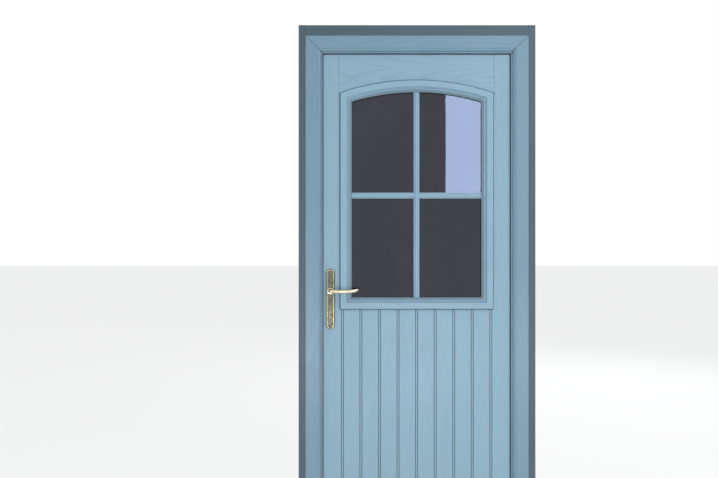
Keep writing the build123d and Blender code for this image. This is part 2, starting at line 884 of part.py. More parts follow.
export_step(outer_lever.part, "parts/outer_lever.step")

with BuildPart() as inner_lever:
    mirror(outer_lever.part, about=leaf_mirror)
inner_lever.part.label = "inner_lever"
export_step(inner_lever.part, "parts/inner_lever.step")

with BuildPart() as spindle:
    with BuildSketch(facing_street(leaf_middle)):
        with Locations((spindle_x, spindle_z)):
            Rectangle(spindle_side, spindle_side)
    extrude(amount=leaf_middle - spindle_end, both=True)
spindle.part.label = "spindle"
export_step(spindle.part, "parts/spindle.step")

with BuildPart() as follower:
    with BuildSketch(facing_street(leaf_middle)):
        with Locations((spindle_x, spindle_z)):
            Circle(follower_radius)
            Rectangle(
                spindle_side + 2 * running_clearance,
                spindle_side + 2 * running_clearance,
                mode=Mode.SUBTRACT,
            )
    extrude(amount=case_thickness / 2, both=True)
follower.part.label = "spindle_follower"
export_step(follower.part, "parts/spindle_follower.step")

# Lock cylinder: a profile body, a plug with the keyway on the street side, and the thumbturn with its cam

cylinder_front = plate_front - cylinder_stand
cylinder_back = inner_plate_face + cylinder_stand
cam_front = leaf_middle - cam_width / 2
with BuildPart() as cylinder_body:
    with BuildSketch(facing_street(cylinder_back)):
        with Locations((spindle_x, cylinder_z)):
            add(euro_profile(0))
            Circle(plug_radius, mode=Mode.SUBTRACT)
    extrude(amount=cylinder_back - cylinder_front)
    with BuildSketch(facing_street(leaf_middle)):
        with Locations((spindle_x, cylinder_z)):
            Circle(cam_radius + moving_clearance)
    extrude(amount=cam_width / 2 + moving_clearance, both=True, mode=Mode.SUBTRACT)
cylinder_body.part.label = "cylinder_body"
export_step(cylinder_body.part, "parts/cylinder_body.step")

with BuildPart() as outer_plug:
    with BuildSketch(facing_street(cam_front - moving_clearance)):
        with Locations((spindle_x, cylinder_z)):
            Circle(plug_radius - running_clearance)
    extrude(amount=cam_front - moving_clearance - cylinder_front)
    with BuildSketch(facing_street(cylinder_front + keyway_depth)):
        with Locations((spindle_x, cylinder_z)):
            Rectangle(keyway_width, keyway_height)
    extrude(amount=keyway_depth, mode=Mode.SUBTRACT)
outer_plug.part.label = "outer_plug"
export_step(outer_plug.part, "parts/outer_plug.step")

with BuildPart() as thumbturn:
    with BuildSketch(facing_street(cylinder_back)):
        with Locations((spindle_x, cylinder_z)):
            Circle(plug_radius - running_clearance)
    extrude(amount=cylinder_back - cam_front)
    with BuildSketch(facing_street(cam_front + cam_width)):
        with Locations((spindle_x, cylinder_z - cam_radius / 2)):
            Rectangle(cam_nose_width, cam_radius)
        with Locations((spindle_x, cylinder_z)):
            Circle(cam_radius, mode=Mode.INTERSECT)
    extrude(amount=cam_width)
    with BuildSketch(facing_street(cylinder_back)):
        with Locations((spindle_x, cylinder_z)):
            Circle(cylinder_radius)
    extrude(amount=-thumb_thickness)
    with BuildSketch(facing_street(cylinder_back + thumb_thickness)):
        with Locations((spindle_x, cylinder_z)):
            SlotOverall(thumb_width, thumb_thickness, rotation=90)
    extrude(amount=-thumb_height)
    chamfer(thumbturn.edges().group_by(Axis.Y)[-1], length=thumb_thickness / 5)
thumbturn.part.label = "thumbturn"
export_step(thumbturn.part, "parts/thumbturn.step")

# Multipoint lock

latch_back = lock_face - latch_throw + latch_body
rail_channel = (
    (lock_inner, rail_side, rail_low - hook_case_height),
    (lock_inner + rail_depth + 2 * moving_clearance, rail_side + rail_thickness + moving_clearance,
     rail_high + hook_case_height),
)
bolt_half = latch_thickness / 2
passage_half = bolt_half + moving_clearance

with BuildPart() as latch_bolt:
    with BuildSketch(Plane.XY.offset(latch_z - latch_height / 2)):
        Polygon(
            (latch_back, leaf_middle - bolt_half),
            (latch_back, leaf_middle + bolt_half),
            (lock_face - latch_throw, leaf_middle + bolt_half),
            (lock_face - latch_throw, leaf_middle + bolt_half - latch_nose),
            (lock_face - latch_nose, leaf_middle - bolt_half),
            align=None,
        )
    extrude(amount=latch_height)
    box_between(
        (latch_back, leaf_middle - bolt_half / 2, latch_z - latch_tail_height / 2),
        (latch_back + latch_tail_length, leaf_middle + bolt_half / 2, latch_z + latch_tail_height / 2),
    )
latch_bolt.part.label = "latch_bolt"
export_step(latch_bolt.part, "parts/latch_bolt.step")

with BuildPart() as dead_bolt:
    box_between(
        (lock_face, leaf_middle - bolt_half, bolt_z - bolt_height / 2),
        (lock_face + bolt_length, leaf_middle + bolt_half, bolt_z + bolt_height / 2),
    )
    chamfer(dead_bolt.edges().group_by(Axis.X)[0], length=1)
dead_bolt.part.label = "dead_bolt"
export_step(dead_bolt.part, "parts/dead_bolt.step")

with BuildPart() as drive_rail:
    box_between(
        (rail_x - rail_depth / 2, rail_side, rail_low),
        (rail_x + rail_depth / 2, rail_side + rail_thickness, rail_high),
    )
drive_rail.part.label = "drive_rail"
export_step(drive_rail.part, "parts/drive_rail.step")

for name, z in hook_heights.items():
    with BuildPart() as hook:
        with BuildSketch(facing_street(leaf_middle)):
            with Locations((hook_x, z)):
                Circle(hook_width / 2)
            with Locations((hook_x - hook_width / 2, z)):
                Rectangle(hook_arm, hook_reach, align=Align.MIN)
            with Locations((hook_x - hook_width / 2, z + hook_reach - hook_tip)):
                Rectangle(hook_width, hook_tip, align=Align.MIN)
            with Locations((hook_x, z)):
                Circle(hook_pin_radius + running_clearance, mode=Mode.SUBTRACT)
        extrude(amount=hook_thickness / 2, both=True)
    hook.part.label = f"{name}_hook"
    export_step(hook.part, f"parts/{name}_hook.step")

hook_slot_half = hook_thickness / 2 + moving_clearance
for name, (low, high, depth) in case_spans.items():
    with BuildPart() as case:
        box_between((lock_inner, case_front, low), (lock_inner + depth, case_back, high))
        box_between(*rail_channel, mode=Mode.SUBTRACT)
        if name == "centre":
            half = latch_height / 2 + moving_clearance
            box_between(
                (lock_inner, leaf_middle - passage_half, latch_z - half),
                (latch_back + latch_throw + moving_clearance, leaf_middle + passage_half, latch_z + half),
                mode=Mode.SUBTRACT,
            )
            tail_half = latch_tail_height / 2 + moving_clearance
            tail_end = latch_back + latch_tail_length + latch_throw + moving_clearance
            box_between(
                (lock_inner, leaf_middle - bolt_half, latch_z - tail_half),
                (tail_end, leaf_middle + bolt_half, latch_z + tail_half),
                mode=Mode.SUBTRACT,
            )
            half = bolt_height / 2 + moving_clearance
            box_between(
                (lock_inner, leaf_middle - passage_half, bolt_z - half),
                (lock_face + bolt_length + moving_clearance, leaf_middle + passage_half, bolt_z + half),
                mode=Mode.SUBTRACT,
            )
            with BuildSketch(facing_street(leaf_middle)):
                with Locations((spindle_x, spindle_z)):
                    Circle(follower_radius + running_clearance)
                with Locations((spindle_x, cylinder_z)):
                    Circle(cam_radius + moving_clearance)
                with Locations((spindle_x, cylinder_z - cylinder_height / 2 + cylinder_radius)):
                    Rectangle(2 * cylinder_radius + 2 * moving_clearance, cylinder_height + 2 * moving_clearance)
            extrude(amount=case_thickness, both=True, mode=Mode.SUBTRACT)
        else:
            z = hook_heights[name]
            box_between(
                (lock_inner, leaf_middle - hook_slot_half, z - hook_width / 2 - moving_clearance),
                (
                    hook_x + hook_width / 2 + moving_clearance,
                    leaf_middle + hook_slot_half,
                    z + hook_reach + keep_room,
                ),
                mode=Mode.SUBTRACT,
            )
            with Locations(Location((hook_x, leaf_middle, z), (90, 0, 0))):
                Cylinder(hook_pin_radius + running_clearance, case_thickness, mode=Mode.SUBTRACT)
    case.part.label = f"{name}_lock_case"
    export_step(case.part, f"parts/{name}_lock_case.step")

with BuildPart() as hook_pins:
    for z in hook_heights.values():
        with Locations(Location((hook_x, leaf_middle, z), (90, 0, 0))):
            Cylinder(hook_pin_radius, case_thickness)
hook_pins.part.label = "hook_pins"
export_step(hook_pins.part, "parts/hook_pins.step")

with BuildPart() as faceplate:
    box_between(
        (lock_face, rail_side, faceplate_low),
        (lock_inner, rail_side + faceplate_width, faceplate_high),
    )
    openings = [
        (latch_z - latch_height / 2, latch_z + latch_height / 2, passage_half),
        (bolt_z - bolt_height / 2, bolt_z + bolt_height / 2, passage_half),
    ]
    for z in hook_heights.values():
        openings.append((z - hook_width / 2, z + hook_reach + keep_room, hook_slot_half))
    for low, high, half in openings:
        box_between(
            (lock_face, leaf_middle - half, low - moving_clearance),
            (lock_inner, leaf_middle + half, high + moving_clearance),
            mode=Mode.SUBTRACT,
        )
faceplate.part.label = "lock_faceplate"
export_step(faceplate.part, "parts/lock_faceplate.step")
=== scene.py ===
import math

import bmesh
import bpy
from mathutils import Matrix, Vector


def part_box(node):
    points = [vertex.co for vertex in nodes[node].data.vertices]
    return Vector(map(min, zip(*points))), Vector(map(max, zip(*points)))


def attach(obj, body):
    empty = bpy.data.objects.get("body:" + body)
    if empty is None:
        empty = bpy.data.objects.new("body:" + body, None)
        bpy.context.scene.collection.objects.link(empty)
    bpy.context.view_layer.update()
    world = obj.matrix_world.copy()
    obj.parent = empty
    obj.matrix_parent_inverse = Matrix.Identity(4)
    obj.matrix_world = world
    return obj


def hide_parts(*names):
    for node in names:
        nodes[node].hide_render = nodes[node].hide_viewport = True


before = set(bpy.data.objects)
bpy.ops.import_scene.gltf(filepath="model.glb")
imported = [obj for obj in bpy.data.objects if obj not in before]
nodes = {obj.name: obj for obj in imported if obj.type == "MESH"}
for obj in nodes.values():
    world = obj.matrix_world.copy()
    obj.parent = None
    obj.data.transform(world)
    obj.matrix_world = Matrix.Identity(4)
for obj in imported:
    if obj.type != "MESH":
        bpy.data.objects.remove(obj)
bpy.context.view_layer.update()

# Sizes of the door in metres, for the pieces and finishes made here
LEAF_EDGE = 0.407
BED_EDGE = 0.411
SIGHT_EDGE = 0.395
SIGHT_TOP = 2.017
FRAME_EDGE = 0.464
FRAME_TOP = 2.086
STREET_FACE = -0.035
EXTENSION_FACE = -0.032
LEAF_MIDDLE = 0.013
WINDOW_HALF = 0.320
WINDOW_BOTTOM = 0.946
WINDOW_TOP = 1.904
WINDOW_RISE = 0.053
ARCH_RADIUS = (WINDOW_HALF**2 + WINDOW_RISE**2) / (2 * WINDOW_RISE)
MOULDING_WIDTH = 0.047
STILE_JOINT = 0.326
LEAF_FRONT = -0.009
LEAF_BACK = 0.035
GROOVE_DEPTH = 0.0022
HANDLE_X = -0.362
LEVER_Z = 1.022
PLATE_Z = 0.9875
PLATE_WIDTH = 0.036
PLATE_HEIGHT = 0.253
PLATE_RISE = 0.009
BOSS_RADIUS = 0.0135
BOSS_RISE = 0.018
CYLINDER_Z = 0.930
CYLINDER_RADIUS = 0.0085
CYLINDER_WEB = 0.010
CYLINDER_HEIGHT = 0.033
HINGE_PIN = (0.409, 0.044)
HINGE_HEIGHTS = (0.182, 1.0205, 1.859)
HINGE_PIN_HALF = 0.053
HINGE_PLATE_FACE = 0.038
HINGE_SCREW_ASIDE = 0.0238
HINGE_SCREW_STEP = 0.031
KEEP_SCREW_INSET = 0.011
FACEPLATE_SCREW_INSET = 0.022
CYLINDER_SCREW_Z = 0.9103
PLATE_SCREW_STEP = 0.1075
MOULDING_ROOM_FACE = 0.048
MOULDING_SCREW_INSET = 0.0145
TOP_RAIL_FOOT = 1.845
GROOVED_HALF = 0.332
LIP_FOOT = 0.026
FIXING_Y = 0.012
FIXING_FOOT = 0.180
FIXING_PITCH = 0.560
FIXINGS_PER_JAMB = 4
DRAIN_Z = 0.0095
DRAIN_ASIDE = 0.27


def screen_colour(red, green, blue):
    """A colour as a screen shows it, 0 to 255, as the linear colour that a shader takes."""
    linear = []
    for value in (red, green, blue):
        share = value / 255
        linear.append(share / 12.92 if share <= 0.04045 else ((share + 0.055) / 1.055) ** 2.4)
    return (*linear, 1.0)


def darker(colour, share):
    """A share of a colour, with full alpha."""
    return tuple(c * share for c in colour[:3]) + (1.0,)


# Building blocks of a node tree


def add_node(tree, kind, inputs=None, **settings):
    """Adds a node, sets what it is given and links what is a socket."""
    made = tree.nodes.new(kind)
    for name, value in settings.items():
        setattr(made, name, value)
    for name, value in (inputs or {}).items():
        feed(tree, made.inputs[name], value)
    return made


def feed(tree, socket, value):
    """Links a socket, or sets a plain value."""
    if isinstance(value, bpy.types.NodeSocket):
        tree.links.new(value, socket)
    else:
        socket.default_value = value


def calc(tree, operation, *values, clamp=False):
    """One step of arithmetic, as a socket."""
    made = tree.nodes.new("ShaderNodeMath")
    made.operation = operation
    made.use_clamp = clamp
    for socket, value in zip(made.inputs, values):
        feed(tree, socket, value)
    return made.outputs[0]


def diagonal(tree, first, second):
    """The length across two sides at right angles."""
    squares = calc(tree, "ADD", calc(tree, "POWER", first, 2.0), calc(tree, "POWER", second, 2.0))
    return calc(tree, "SQRT", squares)


def remap(tree, value, low, high, to_low=0.0, to_high=1.0):
    """A value between two limits, spread over two others with soft ends."""
    made = add_node(
        tree,
        "ShaderNodeMapRange",
        {"Value": value, "From Min": low, "From Max": high, "To Min": to_low, "To Max": to_high},
        interpolation_type="SMOOTHSTEP",
    )
    return made.outputs["Result"]


# The Mix node's values are its inputs 2 and 3, vectors 4 and 5, colours 6 and 7, and 0 is the share


def blend_colours(tree, share, first, second):
    """From the first colour to the second, by a share."""
    made = tree.nodes.new("ShaderNodeMix")
    made.data_type = "RGBA"
    feed(tree, made.inputs[0], share)
    feed(tree, made.inputs[6], first)
    feed(tree, made.inputs[7], second)
    return made.outputs[2]


def blend_values(tree, share, first, second):
    """From the first value to the second, by a share."""
    made = tree.nodes.new("ShaderNodeMix")
    made.data_type = "FLOAT"
    feed(tree, made.inputs[0], share)
    feed(tree, made.inputs[2], first)
    feed(tree, made.inputs[3], second)
    return made.outputs[0]


def parts_of(tree, vector):
    """The three parts of a vector."""
    made = add_node(tree, "ShaderNodeSeparateXYZ", {"Vector": vector})
    return made.outputs["X"], made.outputs["Y"], made.outputs["Z"]


def vector_from(tree, x, y, z):
    made = tree.nodes.new("ShaderNodeCombineXYZ")
    for socket, value in zip(made.inputs, (x, y, z)):
        feed(tree, socket, value)
    return made.outputs[0]


def stretched(tree, vector, scale):
    """The same place with each axis stretched by its own amount."""
    made = add_node(tree, "ShaderNodeMapping", {"Vector": vector, "Scale": scale})
    return made.outputs["Vector"]


def noise(tree, vector, scale=1.0, detail=2.0, roughness=0.5):
    made = add_node(
        tree,
        "ShaderNodeTexNoise",
        {"Vector": vector, "Scale": scale, "Detail": detail, "Roughness": roughness},
    )
    return made.outputs["Fac"]


def new_group(name, inputs, outputs):
    """An empty shader group with named sockets, each as (name, kind, default)."""
    tree = bpy.data.node_groups.new(name, "ShaderNodeTree")
    for label, kind, default in inputs:
        socket = tree.interface.new_socket(label, in_out="INPUT", socket_type=kind)
        if default is not None:
            socket.default_value = default
    for label, kind in outputs:
        tree.interface.new_socket(label, in_out="OUTPUT", socket_type=kind)
    entry = tree.nodes.new("NodeGroupInput")
    result = tree.nodes.new("NodeGroupOutput")
    return tree, entry, result


# Effects that several finishes share


def make_moulded_grain():
    """Wood grain pressed into plastic, running along the vector's Z: growth rings, fibres and pores."""
    tree, entry, result = new_group(
        "moulded_grain",
        [
            ("Vector", "NodeSocketVector", None),
            ("Ring Spacing", "NodeSocketFloat", 0.016),
            ("Ring Depth", "NodeSocketFloat", 1.0),
        ],
        [("Height", "NodeSocketFloat"), ("Tone", "NodeSocketFloat")],
    )
    full_turn = 6.283
    x, y, z = parts_of(tree, entry.outputs["Vector"])
    across = calc(tree, "ADD", x, calc(tree, "MULTIPLY", y, 0.7))
    flat = vector_from(tree, across, 0.0, z)
    sway = noise(tree, stretched(tree, flat, (5.0, 5.0, 1.3)), detail=2.0)
    sway = calc(tree, "MULTIPLY", calc(tree, "SUBTRACT", sway, 0.5), 0.09)
    swayed = calc(tree, "ADD", across, sway)
    along = calc(tree, "MULTIPLY", calc(tree, "PINGPONG", calc(tree, "ADD", z, 3.37), 0.62), 0.11)
    plank = calc(tree, "SUBTRACT", calc(tree, "PINGPONG", calc(tree, "ADD", swayed, 2.019), 0.117), 0.05)
    reach = diagonal(tree, plank, along)
    phase = calc(tree, "DIVIDE", calc(tree, "MULTIPLY", reach, full_turn), entry.outputs["Ring Spacing"])
    rings = calc(tree, "SINE", phase)
    rings = calc(tree, "MULTIPLY", calc(tree, "ADD", rings, 1.0), 0.5)
    rings = calc(tree, "MULTIPLY", calc(tree, "POWER", rings, 2.5), entry.outputs["Ring Depth"])
    fibres = noise(tree, stretched(tree, flat, (330.0, 330.0, 7.0)), detail=3.0, roughness=0.6)
    pores = noise(tree, stretched(tree, flat, (1250.0, 1250.0, 38.0)), detail=1.0)
    pores = remap(tree, pores, 0.58, 0.72)
    patch = noise(tree, stretched(tree, flat, (14.0, 14.0, 2.2)), detail=2.0)
    ring_share = calc(tree, "MULTIPLY", rings, remap(tree, patch, 0.35, 0.62, 0.35, 1.0))
    height = calc(tree, "MULTIPLY_ADD", fibres, 0.5, calc(tree, "MULTIPLY", ring_share, -0.55))
    height = calc(tree, "SUBTRACT", height, calc(tree, "MULTIPLY", pores, 0.35))
    tree.links.new(height, result.inputs["Height"])
    tone = calc(tree, "MULTIPLY_ADD", ring_share, 0.55, calc(tree, "MULTIPLY", fibres, 0.45), clamp=True)
    tree.links.new(tone, result.inputs["Tone"])
    return tree


def make_weathering():
    """Dust and rain marks: more towards the ground, in soft upright streaks and blotches."""
    tree, entry, result = new_group(
        "weathering",
        [
            ("Vector", "NodeSocketVector", None),
            ("Dust Height", "NodeSocketFloat", 0.35),
            ("Streaks", "NodeSocketFloat", 0.5),
        ],
        [("Dust", "NodeSocketFloat"), ("Sheen Change", "NodeSocketFloat")],
    )
    place = entry.outputs["Vector"]
    z = parts_of(tree, place)[2]
    low = calc(tree, "SUBTRACT", 1.0, calc(tree, "DIVIDE", z, entry.outputs["Dust Height"]), clamp=True)
    low = calc(tree, "POWER", low, 2.0)
    blotch = noise(tree, place, scale=6.0, detail=4.0, roughness=0.6)
    streak = noise(tree, stretched(tree, place, (28.0, 28.0, 1.1)), detail=3.0, roughness=0.55)
    marks = calc(tree, "MULTIPLY", remap(tree, streak, 0.5, 0.78), entry.outputs["Streaks"])
    marks = calc(tree, "MULTIPLY", marks, remap(tree, blotch, 0.35, 0.7))
    cover = remap(tree, blotch, 0.25, 0.75, 0.35, 1.0)
    dust = calc(tree, "MULTIPLY_ADD", low, cover, calc(tree, "MULTIPLY", marks, 0.5))
    tree.links.new(calc(tree, "MINIMUM", dust, 1.0), result.inputs["Dust"])
    change = calc(tree, "SUBTRACT", noise(tree, place, scale=11.0, detail=5.0, roughness=0.65), 0.5)
    tree.links.new(change, result.inputs["Sheen Change"])
    return tree


def make_handled_metal():
    """Metal that hands and cloths have rubbed: fine scratches, tarnish in blotches, uneven gloss."""
    tree, entry, result = new_group(
        "handled_metal",
        [("Vector", "NodeSocketVector", None), ("Scratch Stretch", "NodeSocketFloat", 40.0)],
        [
            ("Height", "NodeSocketFloat"),
            ("Tarnish", "NodeSocketFloat"),
            ("Roughness Change", "NodeSocketFloat"),
        ],
    )
    place = entry.outputs["Vector"]
    x, y, z = parts_of(tree, place)
    rubbed = vector_from(tree, calc(tree, "MULTIPLY", x, entry.outputs["Scratch Stretch"]), y, z)
    scratches = noise(tree, rubbed, scale=60.0, detail=3.0, roughness=0.7)
    grit = noise(tree, place, scale=900.0, detail=2.0)
    tree.links.new(calc(tree, "MULTIPLY_ADD", grit, 0.3, scratches), result.inputs["Height"])
    blotch = noise(tree, place, scale=45.0, detail=5.0, roughness=0.62)
    tree.links.new(remap(tree, blotch, 0.46, 0.7), result.inputs["Tarnish"])
    tree.links.new(calc(tree, "SUBTRACT", scratches, 0.5), result.inputs["Roughness Change"])
    return tree


moulded_grain = make_moulded_grain()
weathering = make_weathering()
handled_metal = make_handled_metal()


# Finishes


def new_finish(name):
    """A material with its Principled shader and the object's own coordinates."""
    finish = bpy.data.materials.new(name)
    finish.use_nodes = True
    tree = finish.node_tree
    shader = tree.nodes["Principled BSDF"]
    place = tree.nodes.new("ShaderNodeTexCoord").outputs["Object"]
    return finish, tree, shader, place


def use_group(tree, group, inputs):
    made = tree.nodes.new("ShaderNodeGroup")
    made.node_tree = group
    for name, value in inputs.items():
        feed(tree, made.inputs[name], value)
    return made


def bump(tree, shader, height, distance, strength=1.0):
    made = add_node(tree, "ShaderNodeBump", {"Height": height, "Distance": distance, "Strength": strength})
    tree.links.new(made.outputs["Normal"], shader.inputs["Normal"])


def make_paint(
    name, colour, crossways=None, roughness=0.46, depth=0.00045, rings=1.0, upright_rings=0.4, lines=None
):
    """Satin paint over moulded grain.

    crossways gives where the grain runs along X, and lines gives where dark joints and painted shade show.
    """
    finish, tree, shader, place = new_finish(name)
    x, y, z = parts_of(tree, place)
    upright = vector_from(tree, x, y, z)
    lying = vector_from(tree, z, y, x)
    if crossways is None:
        direction = upright
        switch = 0.0
    else:
        switch = crossways(tree, x, y, z)
        made = tree.nodes.new("ShaderNodeMix")
        made.data_type = "VECTOR"
        feed(tree, made.inputs[0], switch)
        feed(tree, made.inputs[4], upright)
        feed(tree, made.inputs[5], lying)
        direction = made.outputs[1]
    ring_depth = calc(tree, "MULTIPLY_ADD", switch, rings - upright_rings, upright_rings)
    grain = use_group(tree, moulded_grain, {"Vector": direction, "Ring Depth": ring_depth})
    weather = use_group(tree, weathering, {"Vector": place, "Dust Height": 0.4, "Streaks": 0.55})
    deep = darker(colour, 0.80)
    pale = tuple(min(c * 1.06 + 0.004, 1.0) for c in colour[:3]) + (1.0,)
    tone = blend_colours(tree, calc(tree, "MULTIPLY", grain.outputs["Tone"], 0.85, clamp=True), pale, deep)
    drift = noise(tree, place, scale=2.3, detail=3.0)
    tone = blend_colours(tree, remap(tree, drift, 0.3, 0.7, 0.0, 0.35), tone, darker(colour, 0.9))
    dust_colour = screen_colour(150, 152, 146)
    tone = blend_colours(tree, calc(tree, "MULTIPLY", weather.outputs["Dust"], 0.45), tone, dust_colour)
    height = grain.outputs["Height"]
    if lines is not None:
        # Darker along the lines: dark joints, and painted shade in grooves and hollows
        joint_and_shade = lines(tree, x, y, z)
        tone = blend_colours(tree, calc(tree, "MULTIPLY", joint_and_shade, 0.85), tone, darker(colour, 0.35))
        height = calc(tree, "SUBTRACT", height, calc(tree, "MULTIPLY", joint_and_shade, 1.5))
    tree.links.new(tone, shader.inputs["Base Color"])
    gloss = calc(tree, "MULTIPLY_ADD", weather.outputs["Sheen Change"], 0.25, roughness)
    gloss = calc(tree, "MULTIPLY_ADD", weather.outputs["Dust"], 0.25, gloss, clamp=True)
    tree.links.new(gloss, shader.inputs["Roughness"])
    shader.inputs["Specular IOR Level"].default_value = 0.45
    bump(tree, shader, height, depth)
    return finish


def on_top_rail(tree, x, y, z):
    """1 between the stiles above the window, where the leaf's grain lies across."""
    inside = calc(tree, "LESS_THAN", calc(tree, "ABSOLUTE", x), STILE_JOINT)
    above = calc(tree, "GREATER_THAN", z, TOP_RAIL_FOOT)
    return calc(tree, "MULTIPLY", inside, above)


def stile_joints(tree, x, y, z):
    """The fine lines where the moulded top rail meets the stiles."""
    off = calc(tree, "ABSOLUTE", calc(tree, "SUBTRACT", calc(tree, "ABSOLUTE", x), STILE_JOINT))
    half_line = 0.0011
    line = calc(tree, "LESS_THAN", off, half_line)
    return calc(tree, "MULTIPLY", line, calc(tree, "GREATER_THAN", z, TOP_RAIL_FOOT))


def near(tree, value, target, reach):
    """1 where a value lies within reach of its target."""
    off = calc(tree, "ABSOLUTE", calc(tree, "SUBTRACT", value, target))
    return calc(tree, "LESS_THAN", off, reach)


def painted_groove_shade(tree, x, y, z):
    """Painted shade in the planks' grooves, found by how far they lie below the leaf's faces."""
    half = (LEAF_BACK - LEAF_FRONT) / 2
    just_below = 0.0002
    off_middle = calc(tree, "ABSOLUTE", calc(tree, "SUBTRACT", y, LEAF_MIDDLE))
    below = remap(tree, off_middle, half - just_below, half - 0.7 * GROOVE_DEPTH)
    inside = calc(tree, "LESS_THAN", calc(tree, "ABSOLUTE", x), GROOVED_HALF)
    grooved = calc(tree, "MULTIPLY", below, inside)
    return calc(tree, "MULTIPLY", grooved, calc(tree, "LESS_THAN", z, WINDOW_BOTTOM))


def painted_window_edge_shade(tree, x, y, z):
    """A thin line of painted shadow on the leaf where the window's surround sits on it."""
    outside = 0.0022
    half_line = 0.0026
    half_arch_line = 0.0022
    spring = WINDOW_TOP - WINDOW_RISE
    side = near(tree, calc(tree, "ABSOLUTE", x), WINDOW_HALF + outside, half_line)
    side = calc(tree, "MULTIPLY", side, calc(tree, "LESS_THAN", z, spring))
    side = calc(tree, "MULTIPLY", side, calc(tree, "GREATER_THAN", z, WINDOW_BOTTOM - outside))
    foot = near(tree, z, WINDOW_BOTTOM - outside, half_line)
    within = calc(tree, "LESS_THAN", calc(tree, "ABSOLUTE", x), WINDOW_HALF + outside)
    foot = calc(tree, "MULTIPLY", foot, within)
    rise = calc(tree, "SUBTRACT", z, WINDOW_TOP - ARCH_RADIUS)
    reach = diagonal(tree, x, rise)
    arch = near(tree, reach, ARCH_RADIUS + outside, half_arch_line)
    arch = calc(tree, "MULTIPLY", arch, calc(tree, "GREATER_THAN", z, spring))
    return calc(tree, "MAXIMUM", calc(tree, "MAXIMUM", side, foot), arch)


def painted_quirk_shade(tree, x, y, z):
    """Painted shade in the surround's quirk and cove, by height above the leaf's faces, in the moulded band.
    """
    off_middle = calc(tree, "ABSOLUTE", calc(tree, "SUBTRACT", y, LEAF_MIDDLE))
    height = calc(tree, "SUBTRACT", off_middle, (LEAF_BACK - LEAF_FRONT) / 2)
    quirk = near(tree, height, 0.0033, 0.0013)
    cove = calc(tree, "MULTIPLY", near(tree, height, 0.0056, 0.0009), 0.55)
    return calc(tree, "MULTIPLY", calc(tree, "MAXIMUM", quirk, cove), 0.6)


def leaf_joints_and_shade(tree, x, y, z):
    """Fine lines on the leaf: rail joints, and painted shade in the grooves and by the window's edge."""
    joints = calc(tree, "MULTIPLY", stile_joints(tree, x, y, z), 0.5)
    edges = calc(tree, "MAXIMUM", painted_groove_shade(tree, x, y, z), painted_window_edge_shade(tree, x, y, z))
    return calc(tree, "MAXIMUM", joints, edges)


def frame_mitres(tree, x, y, z):
    """The welded corners' fine grooves at 45 degrees."""
    run = calc(tree, "SUBTRACT", calc(tree, "ABSOLUTE", x), SIGHT_EDGE)
    rise = calc(tree, "SUBTRACT", z, SIGHT_TOP)
    off = calc(tree, "ABSOLUTE", calc(tree, "SUBTRACT", run, rise))
    half_line = 0.0016
    below_corner = 0.01
    line = calc(tree, "LESS_THAN", off, half_line)
    return calc(tree, "MULTIPLY", line, calc(tree, "GREATER_THAN", z, SIGHT_TOP - below_corner))


def everywhere(tree, x, y, z):
    """1 all over, for members whose grain lies across."""
    return 1.0


def on_cassette_foot(tree, x, y, z):
    """1 on the window surround's bottom and arched members, between their mitres."""
    mitre_drop = 0.048
    foot_zone_top = 1.1
    head_zone_foot = 1.7
    half = calc(tree, "SUBTRACT", WINDOW_HALF, calc(tree, "ABSOLUTE", x))
    foot = calc(tree, "GREATER_THAN", half, calc(tree, "SUBTRACT", z, WINDOW_BOTTOM))
    head = calc(tree, "GREATER_THAN", half, calc(tree, "SUBTRACT", WINDOW_TOP - mitre_drop, z))
    foot = calc(tree, "MULTIPLY", foot, calc(tree, "LESS_THAN", z, foot_zone_top))
    head = calc(tree, "MULTIPLY", head, calc(tree, "GREATER_THAN", z, head_zone_foot))
    return calc(tree, "MAXIMUM", foot, head)


def make_metal(name, colour, tarnish, roughness, depth=0.00002, darkening=0.5, coat=0.0):
    """Metal that darkens towards its tarnish in blotches, with a clear coat where one is asked for."""
    finish, tree, shader, place = new_finish(name)
    worn = use_group(tree, handled_metal, {"Vector": place})
    share = calc(tree, "MULTIPLY", worn.outputs["Tarnish"], darkening)
    tree.links.new(blend_colours(tree, share, colour, tarnish), shader.inputs["Base Color"])
    shader.inputs["Metallic"].default_value = 1.0
    gloss = calc(tree, "MULTIPLY_ADD", worn.outputs["Roughness Change"], 0.22, roughness)
    gloss = calc(tree, "MULTIPLY_ADD", worn.outputs["Tarnish"], 0.10, gloss, clamp=True)
    tree.links.new(gloss, shader.inputs["Roughness"])
    shader.inputs["Coat Weight"].default_value = coat
    shader.inputs["Coat Roughness"].default_value = 0.12
    bump(tree, shader, worn.outputs["Height"], depth)
    return finish


def make_rubber(name, colour, roughness=0.62):
    """Dull rubber or plastic with a faint pale bloom."""
    finish, tree, shader, place = new_finish(name)
    bloom = noise(tree, place, scale=35.0, detail=5.0, roughness=0.6)
    pale = tuple(c + 0.02 for c in colour[:3]) + (1.0,)
    tone = blend_colours(tree, remap(tree, bloom, 0.4, 0.75), colour, pale)
    tree.links.new(tone, shader.inputs["Base Color"])
    gloss = remap(tree, bloom, 0.3, 0.8, roughness - 0.08, roughness + 0.12)
    tree.links.new(gloss, shader.inputs["Roughness"])
    bump(tree, shader, noise(tree, place, scale=700.0, detail=2.0), 0.00006)
    return finish


def make_glass(name, colour):
    """Glass darkened by its colour, which here is painted shade, with faint smears and a slight ripple."""
    finish, tree, shader, place = new_finish(name)
    smear = noise(tree, stretched(tree, place, (4.0, 4.0, 1.5)), detail=4.0, roughness=0.6)
    tone = blend_colours(tree, remap(tree, smear, 0.35, 0.7), colour, darker(colour, 0.86))
    tree.links.new(tone, shader.inputs["Base Color"])
    tree.links.new(remap(tree, smear, 0.35, 0.75, 0.0, 0.03), shader.inputs["Roughness"])
    shader.inputs["Transmission Weight"].default_value = 1.0
    shader.inputs["IOR"].default_value = 1.5
    ripple = noise(tree, stretched(tree, place, (2.2, 2.2, 1.6)), detail=1.0)
    bump(tree, shader, ripple, 0.0009, strength=0.6)
    return finish


